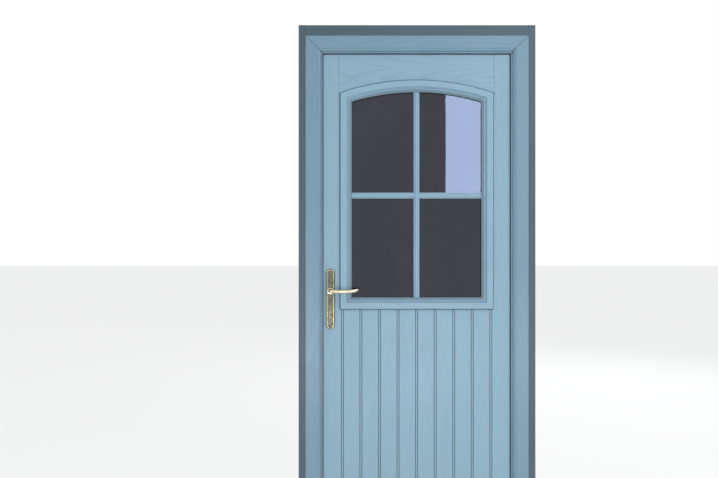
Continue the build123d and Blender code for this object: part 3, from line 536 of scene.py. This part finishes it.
def make_timber(name, colour):
    """Bare laminated timber, with its grain upright and thin dark lines between its layers."""
    finish, tree, shader, place = new_finish(name)
    grain = use_group(tree, moulded_grain, {"Vector": place, "Ring Spacing": 0.006})
    dark = darker(colour, 0.55)
    y = parts_of(tree, place)[1]
    half_ply = 0.0016
    half_line = 0.00025
    plies = calc(tree, "PINGPONG", calc(tree, "ADD", y, 1.0), half_ply)
    plies = calc(tree, "LESS_THAN", plies, half_line)
    tone = blend_colours(tree, grain.outputs["Tone"], colour, dark)
    tone = blend_colours(tree, calc(tree, "MULTIPLY", plies, 0.5), tone, dark)
    tree.links.new(tone, shader.inputs["Base Color"])
    tree.links.new(remap(tree, grain.outputs["Tone"], 0.0, 1.0, 0.7, 0.85), shader.inputs["Roughness"])
    bump(tree, shader, grain.outputs["Height"], 0.0003)
    return finish


def make_foam(name, colour):
    """Rigid foam with fine cells."""
    finish, tree, shader, place = new_finish(name)
    cells = add_node(tree, "ShaderNodeTexVoronoi", {"Vector": place, "Scale": 900.0}).outputs["Distance"]
    tone = blend_colours(tree, remap(tree, cells, 0.1, 0.7), colour, darker(colour, 0.75))
    tree.links.new(tone, shader.inputs["Base Color"])
    tree.links.new(remap(tree, cells, 0.0, 1.0, 0.85, 0.95), shader.inputs["Roughness"])
    bump(tree, shader, cells, 0.0002)
    return finish


LEAF_COLOUR = screen_colour(146, 180, 196)
FRAME_COLOUR = screen_colour(124, 156, 173)
# The extensions' dark grey-teal is partly their own colour and partly painted shade
EXTENSION_COLOUR_AND_SHADE = screen_colour(72, 94, 104)
FINE_GRAIN = 0.0002

leaf_paint = make_paint("leaf_paint", LEAF_COLOUR, crossways=on_top_rail, lines=leaf_joints_and_shade)
cassette_paint = make_paint(
    "cassette_paint", LEAF_COLOUR, crossways=on_cassette_foot, depth=0.00025, rings=0.6, lines=painted_quirk_shade
)
bar_paint = make_paint("glazing_bar_paint", LEAF_COLOUR, depth=FINE_GRAIN, rings=0.4)
jamb_foil = make_paint(
    "jamb_foil", FRAME_COLOUR, depth=FINE_GRAIN, rings=0.5, roughness=0.32, lines=frame_mitres
)
head_foil = make_paint(
    "head_foil",
    FRAME_COLOUR,
    crossways=everywhere,
    depth=FINE_GRAIN,
    rings=0.5,
    roughness=0.32,
    lines=frame_mitres,
)
jamb_strip_foil_and_shade = make_paint("jamb_strip_foil_and_shade", EXTENSION_COLOUR_AND_SHADE, depth=FINE_GRAIN, rings=0.4, roughness=0.4)
head_strip_foil_and_shade = make_paint(
    "head_strip_foil_and_shade", EXTENSION_COLOUR_AND_SHADE, crossways=everywhere, depth=FINE_GRAIN, rings=0.4, roughness=0.4
)
# The plate's brass is aged, and its colour is also darkened as a painted reflection of dark surroundings
plate_brass_with_painted_reflection = make_metal(
    "aged_brass_with_painted_reflection", screen_colour(92, 92, 79), screen_colour(44, 44, 39), 0.36, darkening=0.7, coat=0.25
)
bright_brass = make_metal(
    "rubbed_brass", screen_colour(210, 200, 168), screen_colour(116, 106, 82), 0.17, coat=0.6
)
plug_brass = make_metal("plug_brass", screen_colour(126, 120, 98), screen_colour(66, 62, 48), 0.32)
zinc_steel = make_metal(
    "zinc_plated_steel", screen_colour(172, 176, 180), screen_colour(120, 122, 118), 0.34, darkening=0.3
)
stainless = make_metal(
    "brushed_stainless", screen_colour(172, 175, 178), screen_colour(136, 138, 138), 0.44, darkening=0.2
)
mill_aluminium = make_metal(
    "mill_aluminium", screen_colour(160, 164, 168), screen_colour(116, 118, 117), 0.42, darkening=0.35
)
black_rubber = make_rubber("black_rubber", screen_colour(26, 27, 29))
black_spacer = make_rubber("spacer_plastic", screen_colour(30, 31, 33), roughness=0.5)
# The panes' dark blue-grey colour is painted shade, for the darkness seen through them
painted_shade_glass = make_glass("painted_shade_glass", (0.115, 0.12, 0.17, 1.0))
mastic = make_rubber("colour_matched_mastic", screen_colour(92, 116, 128), roughness=0.5)
timber = make_timber("laminated_timber", screen_colour(204, 168, 118))
foam = make_foam("insulation_foam", screen_colour(226, 206, 150))

node_finishes = {
    leaf_paint: ["outer_skin", "inner_skin"],
    cassette_paint: ["outer_cassette", "inner_cassette"],
    bar_paint: ["outer_glazing_bars", "inner_glazing_bars"],
    jamb_foil: ["lock_jamb", "hinge_jamb"],
    head_foil: ["frame_head"],
    jamb_strip_foil_and_shade: ["lock_side_extension", "hinge_side_extension"],
    head_strip_foil_and_shade: ["head_extension"],
    plate_brass_with_painted_reflection: ["outer_backplate", "inner_backplate"],
    bright_brass: ["outer_lever", "inner_lever", "thumbturn"],
    plug_brass: ["cylinder_body", "outer_plug"],
    zinc_steel: [
        "spindle",
        "spindle_follower",
        "centre_lock_case",
        "upper_lock_case",
        "lower_lock_case",
        "drive_rail",
        "hook_pins",
        "upper_keep",
        "lower_keep",
        "centre_keep",
        "hinge_pins",
    ],
    stainless: [
        "lock_faceplate",
        "latch_bolt",
        "dead_bolt",
        "upper_hook",
        "lower_hook",
        "bottom_hinge_frame_half",
        "middle_hinge_frame_half",
        "top_hinge_frame_half",
        "bottom_hinge_leaf_half",
        "middle_hinge_leaf_half",
        "top_hinge_leaf_half",
    ],
    mill_aluminium: ["threshold"],
    black_rubber: ["weather_seal", "glazing_tapes"],
    black_spacer: ["spacer_bar", "duplex_bars"],
    painted_shade_glass: ["outer_pane", "inner_pane"],
    timber: ["lock_stile", "hinge_stile", "bottom_edge_rail", "top_edge_rail"],
    foam: ["foam_core"],
}
for finish, names in node_finishes.items():
    for name in names:
        nodes[name].data.materials.clear()
        nodes[name].data.materials.append(finish)


# Pieces made here


def finish_mesh(name, mesh, finish, body, smooth_angle=32):
    """Turns a mesh into a piece of the door: shaded, finished and riding on its body."""
    mesh.materials.clear()
    mesh.materials.append(finish)
    mesh.polygons.foreach_set("use_smooth", [True] * len(mesh.polygons))
    mesh.set_sharp_from_angle(angle=math.radians(smooth_angle))
    piece = bpy.data.objects.new(name, mesh)
    bpy.context.scene.collection.objects.link(piece)
    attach(piece, body)
    return piece


def window_outline(inset, steps=40):
    """The arched window's outline inset from the surround's outer edge, as (x, z), from the bottom left."""
    half = WINDOW_HALF - inset
    radius = ARCH_RADIUS - inset
    spring = math.asin(half / radius)
    points = [(-half, WINDOW_BOTTOM + inset), (half, WINDOW_BOTTOM + inset)]
    for i in range(steps + 1):
        angle = spring * (1 - 2 * i / steps)
        points.append((radius * math.sin(angle), WINDOW_TOP - ARCH_RADIUS + radius * math.cos(angle)))
    return points


def plate_outline(inset, steps=24):
    """The handle plate's outline: straight sides and round ends, as (x, z)."""
    radius = PLATE_WIDTH / 2 - inset
    straight = (PLATE_HEIGHT - PLATE_WIDTH) / 2
    points = []
    for end in (1, -1):
        for i in range(steps + 1):
            angle = math.pi * i / steps + (0 if end == 1 else math.pi)
            x = HANDLE_X + radius * math.cos(angle)
            points.append((x, PLATE_Z + end * straight + radius * math.sin(angle)))
    return points


def collar_outline(inset, steps=36):
    """The round boss under the lever, as (x, z)."""
    radius = BOSS_RADIUS - inset
    points = []
    for i in range(steps):
        angle = 2 * math.pi * i / steps
        points.append((HANDLE_X + radius * math.cos(angle), LEVER_Z + radius * math.sin(angle)))
    return points


def cylinder_outline(inset, steps=20):
    """The lock cylinder's keyhole shape, a circle above a narrower web with a round foot, as (x, z)."""
    radius = CYLINDER_RADIUS - inset
    web = CYLINDER_WEB / 2 - inset
    open_angle = math.acos(web / radius)
    foot_z = CYLINDER_Z + CYLINDER_RADIUS - CYLINDER_HEIGHT + CYLINDER_WEB / 2
    points = []
    for i in range(steps + 1):
        angle = -open_angle + (math.pi + 2 * open_angle) * i / steps
        points.append((HANDLE_X + radius * math.cos(angle), CYLINDER_Z + radius * math.sin(angle)))
    for i in range(steps // 2 + 1):
        angle = math.pi + math.pi * i / (steps // 2)
        points.append((HANDLE_X + web * math.cos(angle), foot_z + web * math.sin(angle)))
    return points


def sight_path(inset):
    """The frame's opening as seen from the street, from foot to foot, as (x, z)."""
    side = SIGHT_EDGE - inset
    top = SIGHT_TOP - inset
    return [(-side, LIP_FOOT), (-side, top), (side, top), (side, LIP_FOOT)]


def outer_path(inset):
    """The frame's outer edge, from foot to foot, as (x, z)."""
    side = FRAME_EDGE - inset
    return [(-side, 0.0), (-side, FRAME_TOP - inset), (side, FRAME_TOP - inset), (side, 0.0)]


def loops_mesh(name, outline, profile, face_y, outward=-1, ends=False):
    """Joins copies of one outline: each profile point gives an inset and a height out from face_y.

    With ends, the outline is an open path and both its ends are closed.
    """
    shape = bmesh.new()
    rings = []
    for inset, height in profile:
        ring = [shape.verts.new((x, face_y + outward * height, z)) for x, z in outline(inset)]
        rings.append(ring)
    count = len(rings[0])
    for one, other in zip(rings, rings[1:] + rings[:1]):
        for i in range(count - 1 if ends else count):
            j = (i + 1) % count
            shape.faces.new((one[i], one[j], other[j], other[i]))
    if ends:
        shape.faces.new([ring[0] for ring in rings])
        shape.faces.new([ring[-1] for ring in rings])
    bmesh.ops.recalc_face_normals(shape, faces=shape.faces)
    mesh = bpy.data.meshes.new(name)
    shape.to_mesh(mesh)
    shape.free()
    return mesh


def arc_points(centre, radius, start, end, steps):
    """Points on an arc in a profile, by degrees."""
    points = []
    for i in range(steps + 1):
        angle = math.radians(start + (end - start) * i / steps)
        points.append((centre[0] + radius * math.cos(angle), centre[1] + radius * math.sin(angle)))
    return points


def cassette_profile():
    """The surround's moulding: rounded edge, flat, cove, bead, quirk and the lip that holds the glass."""
    profile = [(0.0, 0.0)]
    profile += arc_points((0.003, 0.010), 0.003, 180, 90, 6)
    profile += arc_points((0.034, 0.013), 0.008, 180, 270, 8)
    profile += arc_points((0.0365, 0.005), 0.0025, 180, 0, 8)
    profile += [(0.039, 0.0032), (0.0394, 0.003), (0.0416, 0.003), (0.042, 0.0034), (0.042, 0.005)]
    profile += [(0.0465, 0.0028), (0.047, 0.0022), (0.047, -0.0088), (0.0315, -0.0088), (0.0315, 0.0)]
    return profile


for side, face_y, outward in (("outer", LEAF_FRONT, -1), ("inner", LEAF_BACK, 1)):
    mesh = loops_mesh(f"{side}_window_moulding", window_outline, cassette_profile(), face_y, outward)
    moulding = finish_mesh(f"{side}_window_moulding", mesh, cassette_paint, "leaf")
    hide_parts(f"{side}_cassette")
    gasket_profile = [(MOULDING_WIDTH + x, h) for x, h in arc_points((0.0, -0.0085), 0.0014, 0, 330, 11)]
    mesh = loops_mesh(f"{side}_glass_gasket", window_outline, gasket_profile, face_y, outward)
    finish_mesh(f"{side}_glass_gasket", mesh, black_rubber, "leaf", smooth_angle=80)
    collar_profile = [
        (-0.0004, PLATE_RISE),
        (-0.0004, BOSS_RISE - 0.0016),
        *arc_points((0.0014, BOSS_RISE - 0.0014), 0.0018, 180, 90, 6),
        (0.0044, BOSS_RISE + 0.0004),
        (0.0050, BOSS_RISE - 0.0004),
        (0.0008, BOSS_RISE - 0.0010),
        (0.0008, PLATE_RISE),
    ]
    mesh = loops_mesh(f"{side}_lever_collar", collar_outline, collar_profile, face_y, outward)
    finish_mesh(f"{side}_lever_collar", mesh, bright_brass, "leaf", smooth_angle=40)
    bead = arc_points((0.0, -0.0002), 0.0011, 0, 180, 8)
    surround_profile = [(x - 0.0014, PLATE_RISE + h) for x, h in bead]
    mesh = loops_mesh(f"{side}_cylinder_surround", cylinder_outline, surround_profile, face_y, outward)
    finish_mesh(f"{side}_cylinder_surround", mesh, plate_brass_with_painted_reflection, "leaf", smooth_angle=60)
    bead = arc_points((0.0, -0.0002), 0.0016, 0, 180, 8)
    rim_profile = [(0.0042 + x, PLATE_RISE + h) for x, h in bead]
    mesh = loops_mesh(f"{side}_plate_rim", plate_outline, rim_profile, face_y, outward)
    finish_mesh(f"{side}_plate_rim", mesh, bright_brass, "leaf", smooth_angle=60)


# The frame's rubber lip at the sight edge, and the mastic between frame and extensions
lip_profile = [(0.0, 0.0007), (0.0, 0.0034), *arc_points((0.0022, 0.0020), 0.0013, 80, -80, 6)]
mesh = loops_mesh("sight_edge_lip", sight_path, lip_profile, LEAF_FRONT, ends=True)
finish_mesh("sight_edge_lip", mesh, black_rubber, "frame", smooth_angle=50)
bead_profile = [(0.0, 0.0), *[(-x, h) for x, h in arc_points((0.0, 0.0), 0.0024, 0, 90, 5)]]
mesh = loops_mesh("extension_mastic", outer_path, bead_profile, EXTENSION_FACE, ends=True)
finish_mesh("extension_mastic", mesh, mastic, "frame", smooth_angle=50)


# Points on the lever's middle line from the plate to its turned-in tip, each with half the depth
# and half the height there
LEVER_STATIONS = [
    ((0.0, -0.0180, 0.0), 0.0080, 0.0080),
    ((0.0, -0.0290, 0.0), 0.0076, 0.0078),
    ((0.0, -0.0400, 0.0), 0.0066, 0.0076),
    ((0.0025, -0.0488, 0.0), 0.0056, 0.0076),
    ((0.0115, -0.0530, -0.0003), 0.0041, 0.0075),
    ((0.0300, -0.0530, -0.0008), 0.0041, 0.0074),
    ((0.0560, -0.0530, -0.0010), 0.0040, 0.0070),
    ((0.0820, -0.0529, -0.0004), 0.0041, 0.0071),
    ((0.1000, -0.0516, 0.0014), 0.0042, 0.0074),
    ((0.1110, -0.0482, 0.0038), 0.0041, 0.0070),
    ((0.1165, -0.0435, 0.0060), 0.0036, 0.0054),
    ((0.1178, -0.0395, 0.0074), 0.0024, 0.0036),
]


def lever_mesh(name, mirrored):
    """A lever's coarse cage: a round neck that flattens into a curved arm, for smoothing by subdivision."""
    shape = bmesh.new()
    rings = []
    around = 12
    for i, (centre, depth, height) in enumerate(LEVER_STATIONS):
        before = Vector(LEVER_STATIONS[max(i - 1, 0)][0])
        after = Vector(LEVER_STATIONS[min(i + 1, len(LEVER_STATIONS) - 1)][0])
        along = (after - before).normalized()
        across = along.cross(Vector((0, 0, 1))).normalized()
        up = across.cross(along)
        middle = Vector(centre) + Vector((HANDLE_X, 0.0, LEVER_Z))
        ring = []
        for k in range(around):
            angle = 2 * math.pi * k / around
            point = middle + across * depth * math.cos(angle) + up * height * math.sin(angle)
            if mirrored:
                point.y = 2 * LEAF_MIDDLE - point.y
            ring.append(shape.verts.new(point))
        rings.append(ring)
    for one, other in zip(rings, rings[1:]):
        for k in range(around):
            shape.faces.new((one[k], one[(k + 1) % around], other[(k + 1) % around], other[k]))
    shape.faces.new(rings[0])
    shape.faces.new(rings[-1])
    bmesh.ops.recalc_face_normals(shape, faces=shape.faces)
    mesh = bpy.data.meshes.new(name)
    shape.to_mesh(mesh)
    shape.free()
    return mesh


for side, mirrored in (("outer", False), ("inner", True)):
    mesh = lever_mesh(f"{side}_curved_lever", mirrored)
    lever = finish_mesh(f"{side}_curved_lever", mesh, bright_brass, "lever", smooth_angle=80)
    smoothing = lever.modifiers.new("smoothing", "SUBSURF")
    smoothing.levels = 2
    smoothing.render_levels = 2
    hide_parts(f"{side}_lever")


# Screws and caps: one tree each, set out on points that carry no faces


def new_geometry_tree(name, inputs):
    """A geometry tree with its inputs, and its entry and result nodes."""
    tree = bpy.data.node_groups.new(name, "GeometryNodeTree")
    tree.interface.new_socket("Geometry", in_out="INPUT", socket_type="NodeSocketGeometry")
    for label, kind, default in inputs:
        socket = tree.interface.new_socket(label, in_out="INPUT", socket_type=kind)
        if default is not None:
            socket.default_value = default
    tree.interface.new_socket("Geometry", in_out="OUTPUT", socket_type="NodeSocketGeometry")
    entry = tree.nodes.new("NodeGroupInput")
    result = tree.nodes.new("NodeGroupOutput")
    return tree, entry, result


def moved(tree, geometry, translation=(0.0, 0.0, 0.0), scale=(1.0, 1.0, 1.0)):
    """Geometry scaled and shifted."""
    made = add_node(
        tree,
        "GeometryNodeTransform",
        {"Geometry": geometry, "Translation": translation, "Scale": scale},
    )
    return made.outputs["Geometry"]


def set_out(tree, entry, result, head):
    """Places one head on every point, turned to face its way, then makes it plain mesh with its finish."""
    widest_spin = 1.6
    facing = add_node(
        tree,
        "FunctionNodeAlignRotationToVector",
        {"Vector": entry.outputs["Facing"]},
        axis="Z",
    )
    spin = add_node(tree, "FunctionNodeRandomValue", data_type="FLOAT")
    spin.inputs["Min"].default_value = 0.0
    spin.inputs["Max"].default_value = widest_spin
    tree.links.new(entry.outputs["Seed"], spin.inputs["Seed"])
    turn = add_node(
        tree,
        "FunctionNodeAxisAngleToRotation",
        {"Axis": (0.0, 0.0, 1.0), "Angle": spin.outputs["Value"]},
    )
    both = add_node(
        tree,
        "FunctionNodeRotateRotation",
        {"Rotation": facing.outputs["Rotation"], "Rotate By": turn.outputs["Rotation"]},
        rotation_space="LOCAL",
    )
    placed = add_node(
        tree,
        "GeometryNodeInstanceOnPoints",
        {"Points": entry.outputs["Geometry"], "Instance": head, "Rotation": both.outputs["Rotation"]},
    )
    real = add_node(tree, "GeometryNodeRealizeInstances", {"Geometry": placed.outputs["Instances"]})
    finished = add_node(
        tree,
        "GeometryNodeSetMaterial",
        {"Geometry": real.outputs["Geometry"], "Material": entry.outputs["Finish"]},
    )
    tree.links.new(finished.outputs["Geometry"], result.inputs["Geometry"])


def make_screw_tree():
    """Raised countersunk heads with a cross recess."""
    tree, entry, result = new_geometry_tree(
        "cross_head_screws",
        [
            ("Head Radius", "NodeSocketFloat", 0.004),
            ("Head Height", "NodeSocketFloat", 0.0011),
            ("Facing", "NodeSocketVector", (0.0, -1.0, 0.0)),
            ("Seed", "NodeSocketInt", 3),
            ("Finish", "NodeSocketMaterial", None),
        ],
    )
    radius = entry.outputs["Head Radius"]
    height = entry.outputs["Head Height"]
    ball = add_node(tree, "GeometryNodeMeshUVSphere", {"Segments": 28, "Rings": 12, "Radius": 1.0})
    dome = moved(tree, ball.outputs["Mesh"], scale=vector_from(tree, radius, radius, height))
    length = calc(tree, "MULTIPLY", radius, 1.15)
    width = calc(tree, "MULTIPLY", radius, 0.26)
    deep = calc(tree, "MULTIPLY", height, 1.3)
    above = vector_from(tree, 0.0, 0.0, height)
    bars = []
    for size in (vector_from(tree, length, width, deep), vector_from(tree, width, length, deep)):
        bar = add_node(tree, "GeometryNodeMeshCube", {"Size": size})
        bars.append(moved(tree, bar.outputs["Mesh"], translation=above))
    cut = tree.nodes.new("GeometryNodeMeshBoolean")
    cut.operation = "DIFFERENCE"
    tree.links.new(dome, cut.inputs["Mesh 1"])
    for bar in bars:
        tree.links.new(bar, cut.inputs["Mesh 2"])
    set_out(tree, entry, result, cut.outputs["Mesh"])
    return tree


def make_cap_tree():
    """Low round plastic caps with a stepped rim."""
    tree, entry, result = new_geometry_tree(
        "round_cover_caps",
        [
            ("Cap Radius", "NodeSocketFloat", 0.007),
            ("Cap Height", "NodeSocketFloat", 0.0016),
            ("Facing", "NodeSocketVector", (0.0, -1.0, 0.0)),
            ("Seed", "NodeSocketInt", 3),
            ("Finish", "NodeSocketMaterial", None),
        ],
    )
    radius = entry.outputs["Cap Radius"]
    height = entry.outputs["Cap Height"]
    rim_depth = calc(tree, "MULTIPLY", height, 0.8)
    rim = add_node(
        tree,
        "GeometryNodeMeshCylinder",
        {"Vertices": 32, "Radius": radius, "Depth": rim_depth},
    )
    ball = add_node(tree, "GeometryNodeMeshUVSphere", {"Segments": 32, "Rings": 12, "Radius": 1.0})
    inner = calc(tree, "MULTIPLY", radius, 0.86)
    dome = moved(tree, ball.outputs["Mesh"], scale=vector_from(tree, inner, inner, height))
    both = tree.nodes.new("GeometryNodeJoinGeometry")
    tree.links.new(dome, both.inputs["Geometry"])
    tree.links.new(rim.outputs["Mesh"], both.inputs["Geometry"])
    set_out(tree, entry, result, both.outputs["Geometry"])
    return tree


def set_on_points(name, tree, points, settings, body):
    """Runs a tree on a set of points and keeps the result as one plain piece."""
    cloud = bpy.data.meshes.new(name + "_points")
    cloud.from_pydata(points, [], [])
    carrier = bpy.data.objects.new(name + "_carrier", cloud)
    bpy.context.scene.collection.objects.link(carrier)
    modifier = carrier.modifiers.new(name, "NODES")
    modifier.node_group = tree
    for item in tree.interface.items_tree:
        if item.in_out == "INPUT" and item.name in settings:
            modifier[item.identifier] = settings[item.name]
    bpy.context.view_layer.update()
    evaluated = carrier.evaluated_get(bpy.context.evaluated_depsgraph_get())
    mesh = bpy.data.meshes.new_from_object(evaluated)
    mesh.name = name
    bpy.data.objects.remove(carrier)
    finish = settings["Finish"]
    return finish_mesh(name, mesh, finish, body, smooth_angle=40)


screw_tree = make_screw_tree()
cap_tree = make_cap_tree()


# Hinge screws, two in each plate, on its room face
for side, way in (("frame", 1), ("leaf", -1)):
    plate_x = HINGE_PIN[0] + way * HINGE_SCREW_ASIDE
    points = []
    for level in ("bottom", "middle", "top"):
        low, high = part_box(f"{level}_hinge_{side}_half")
        middle = (low.z + high.z) / 2
        heights = (middle - HINGE_SCREW_STEP, middle + HINGE_SCREW_STEP)
        points += [(plate_x, HINGE_PLATE_FACE, z) for z in heights]
    settings = {"Head Radius": 0.0046, "Facing": (0.0, 1.0, 0.0), "Finish": stainless, "Seed": 5}
    set_on_points(f"{side}_hinge_screws", screw_tree, points, settings, side)

# Screws of the keeps, the faceplate, the cylinder and the handle plates
points = []
for name in ("lower_keep", "centre_keep", "upper_keep"):
    low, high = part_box(name)
    heights = (low.z + KEEP_SCREW_INSET, high.z - KEEP_SCREW_INSET)
    points += [(-BED_EDGE, LEAF_MIDDLE, z) for z in heights]
settings = {"Head Radius": 0.004, "Facing": (1.0, 0.0, 0.0), "Finish": zinc_steel, "Seed": 8}
set_on_points("keep_plate_screws", screw_tree, points, settings, "frame")

low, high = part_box("lock_faceplate")
case_low, case_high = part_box("centre_lock_case")
inset = FACEPLATE_SCREW_INSET
heights = [
    low.z + inset,
    case_low.z - inset,
    case_high.z + inset,
    high.z - inset,
    CYLINDER_SCREW_Z,
]
points = [(-LEAF_EDGE, LEAF_MIDDLE, z) for z in heights]
settings = {"Head Radius": 0.004, "Facing": (-1.0, 0.0, 0.0), "Finish": zinc_steel, "Seed": 11}
set_on_points("faceplate_and_cylinder_screws", screw_tree, points, settings, "leaf")

heights = (PLATE_Z - PLATE_SCREW_STEP, PLATE_Z + PLATE_SCREW_STEP)
points = [(HANDLE_X, LEAF_BACK + PLATE_RISE, z) for z in heights]
settings = {"Head Radius": 0.0046, "Facing": (0.0, 1.0, 0.0), "Finish": bright_brass, "Seed": 2}
set_on_points("handle_plate_screws", screw_tree, points, settings, "leaf")

# Caps over the frame's fixings, in the rebate
for side, name in ((-1, "lock_jamb_caps"), (1, "hinge_jamb_caps")):
    heights = [FIXING_FOOT + i * FIXING_PITCH for i in range(FIXINGS_PER_JAMB)]
    points = [(side * BED_EDGE, FIXING_Y, z) for z in heights]
    settings = {"Facing": (-side * 1.0, 0.0, 0.0), "Finish": jamb_foil, "Seed": 4}
    set_on_points(name, cap_tree, points, settings, "frame")

# Drain covers on the threshold's street face, and round caps on the hinge pins' ends
points = [(x, STREET_FACE, DRAIN_Z) for x in (-DRAIN_ASIDE, 0.0, DRAIN_ASIDE)]
settings = {"Cap Radius": 0.005, "Cap Height": 0.0014, "Facing": (0.0, -1.0, 0.0), "Finish": black_spacer}
set_on_points("threshold_drain_covers", cap_tree, points, settings, "frame")
for end, word in ((1, "upper"), (-1, "lower")):
    points = [(*HINGE_PIN, height + end * HINGE_PIN_HALF) for height in HINGE_HEIGHTS]
    settings = {
        "Cap Radius": 0.0046,
        "Cap Height": 0.0026,
        "Facing": (0.0, 0.0, float(end)),
        "Finish": stainless,
    }
    set_on_points(f"{word}_hinge_pin_caps", cap_tree, points, settings, "frame")

# Caps over the screws of the room side's moulding: along its foot, up both sides and on the arch
points = []
outline = window_outline(MOULDING_SCREW_INSET, steps=8)
for start, end, shares in ((0, 1, (0.1, 0.5, 0.9)), (1, 2, (0.1, 0.37, 0.64, 0.91))):
    for share in shares:
        x = outline[start][0] + (outline[end][0] - outline[start][0]) * share
        z = outline[start][1] + (outline[end][1] - outline[start][1]) * share
        points.append((x, MOULDING_ROOM_FACE, z))
        if start == 1:
            points.append((-x, MOULDING_ROOM_FACE, z))
points += [(outline[i][0], MOULDING_ROOM_FACE, outline[i][1]) for i in (4, 6, 8)]
settings = {"Cap Radius": 0.0055, "Cap Height": 0.0014, "Facing": (0.0, 1.0, 0.0), "Finish": cassette_paint}
set_on_points("moulding_screw_caps", cap_tree, points, settings, "leaf")


# Stage, light and camera


def make_floor():
    """A pale floor, nearly white where it is seen and white in gloss or through glass."""
    mesh = bpy.data.meshes.new("floor")
    size = 30
    bright_share = 0.78
    corners = [(-size, -size, 0), (size, -size, 0), (size, size, 0), (-size, size, 0)]
    mesh.from_pydata(corners, [], [(0, 1, 2, 3)])
    floor = bpy.data.objects.new("floor", mesh)
    bpy.context.scene.collection.objects.link(floor)
    finish, tree, shader, place = new_finish("pale_floor")
    shader.inputs["Base Color"].default_value = (0.80, 0.80, 0.80, 1.0)
    shader.inputs["Roughness"].default_value = 0.8
    glow = add_node(tree, "ShaderNodeEmission", {"Color": (1, 1, 1, 1), "Strength": 1.0})
    light_path = tree.nodes.new("ShaderNodeLightPath")
    rays = light_path.outputs
    mirrored = calc(tree, "ADD", rays["Is Glossy Ray"], rays["Is Transmission Ray"])
    share = calc(tree, "MULTIPLY_ADD", rays["Is Camera Ray"], bright_share, mirrored, clamp=True)
    mixed = add_node(tree, "ShaderNodeMixShader", {0: share, 1: shader.outputs[0], 2: glow.outputs[0]})
    tree.links.new(mixed.outputs[0], tree.nodes["Material Output"].inputs["Surface"])
    mesh.materials.append(finish)


def make_world():
    """An even pale room: white where it is seen directly, in gloss or through glass, softer as light."""
    world = bpy.data.worlds.new("studio")
    bpy.context.scene.world = world
    world.use_nodes = True
    tree = world.node_tree
    light_path = tree.nodes.new("ShaderNodeLightPath")
    seen = calc(tree, "ADD", light_path.outputs["Is Camera Ray"], light_path.outputs["Is Glossy Ray"])
    seen = calc(tree, "ADD", seen, light_path.outputs["Is Transmission Ray"], clamp=True)
    backdrop = tree.nodes["Background"]
    light_colour = (0.93, 0.96, 1.0, 1.0)
    light_strength = 0.41
    feed(tree, backdrop.inputs["Color"], blend_colours(tree, seen, light_colour, (1.0, 1.0, 1.0, 1.0)))
    feed(tree, backdrop.inputs["Strength"], blend_values(tree, seen, light_strength, 1.0))


def make_lamp(name, place, target, size, power, colour=(1.0, 1.0, 1.0)):
    """A rectangular lamp that faces its target."""
    lamp = bpy.data.lights.new(name, "AREA")
    lamp.shape = "RECTANGLE"
    lamp.size = size[0]
    lamp.size_y = size[1]
    lamp.energy = power
    lamp.color = colour
    made = bpy.data.objects.new(name, lamp)
    bpy.context.scene.collection.objects.link(made)
    made.location = place
    made.rotation_euler = (Vector(target) - Vector(place)).to_track_quat("-Z", "Y").to_euler()


def make_camera():
    """A level camera in front of the street side, left of the door's middle."""
    lens = bpy.data.cameras.new("camera")
    lens.lens = 35.8
    lens.sensor_width = 36.0
    camera = bpy.data.objects.new("camera", lens)
    bpy.context.scene.collection.objects.link(camera)
    camera.location = (-0.242, -3.009, 1.239)
    camera.rotation_euler = (math.radians(90), 0.0, 0.0)
    bpy.context.scene.camera = camera


make_floor()
make_world()
make_lamp("key_lamp", (3.0, -3.6, 4.0), (0.0, 0.0, 0.9), (1.6, 1.6), 72, (1.0, 0.98, 0.96))
make_lamp("fill_lamp", (-3.4, -3.4, 1.2), (0.0, 0.0, 0.6), (2.6, 2.0), 20, (0.95, 0.98, 1.0))
make_lamp("low_lamp", (0.05, -3.3, 0.29), (0.05, 0.0, 0.35), (2.6, 0.56), 27, (0.98, 0.99, 1.0))
make_lamp("glint_card", (0.73, -3.6, 2.12), (0.2, 0.0, 1.64), (0.34, 0.96), 14, (0.55, 0.68, 1.0))
make_lamp("room_lamp", (2.3, 3.7, 3.2), (0.0, 0.0, 1.0), (3.0, 3.0), 135)
make_camera()
bpy.context.scene.view_settings.view_transform = "Standard"
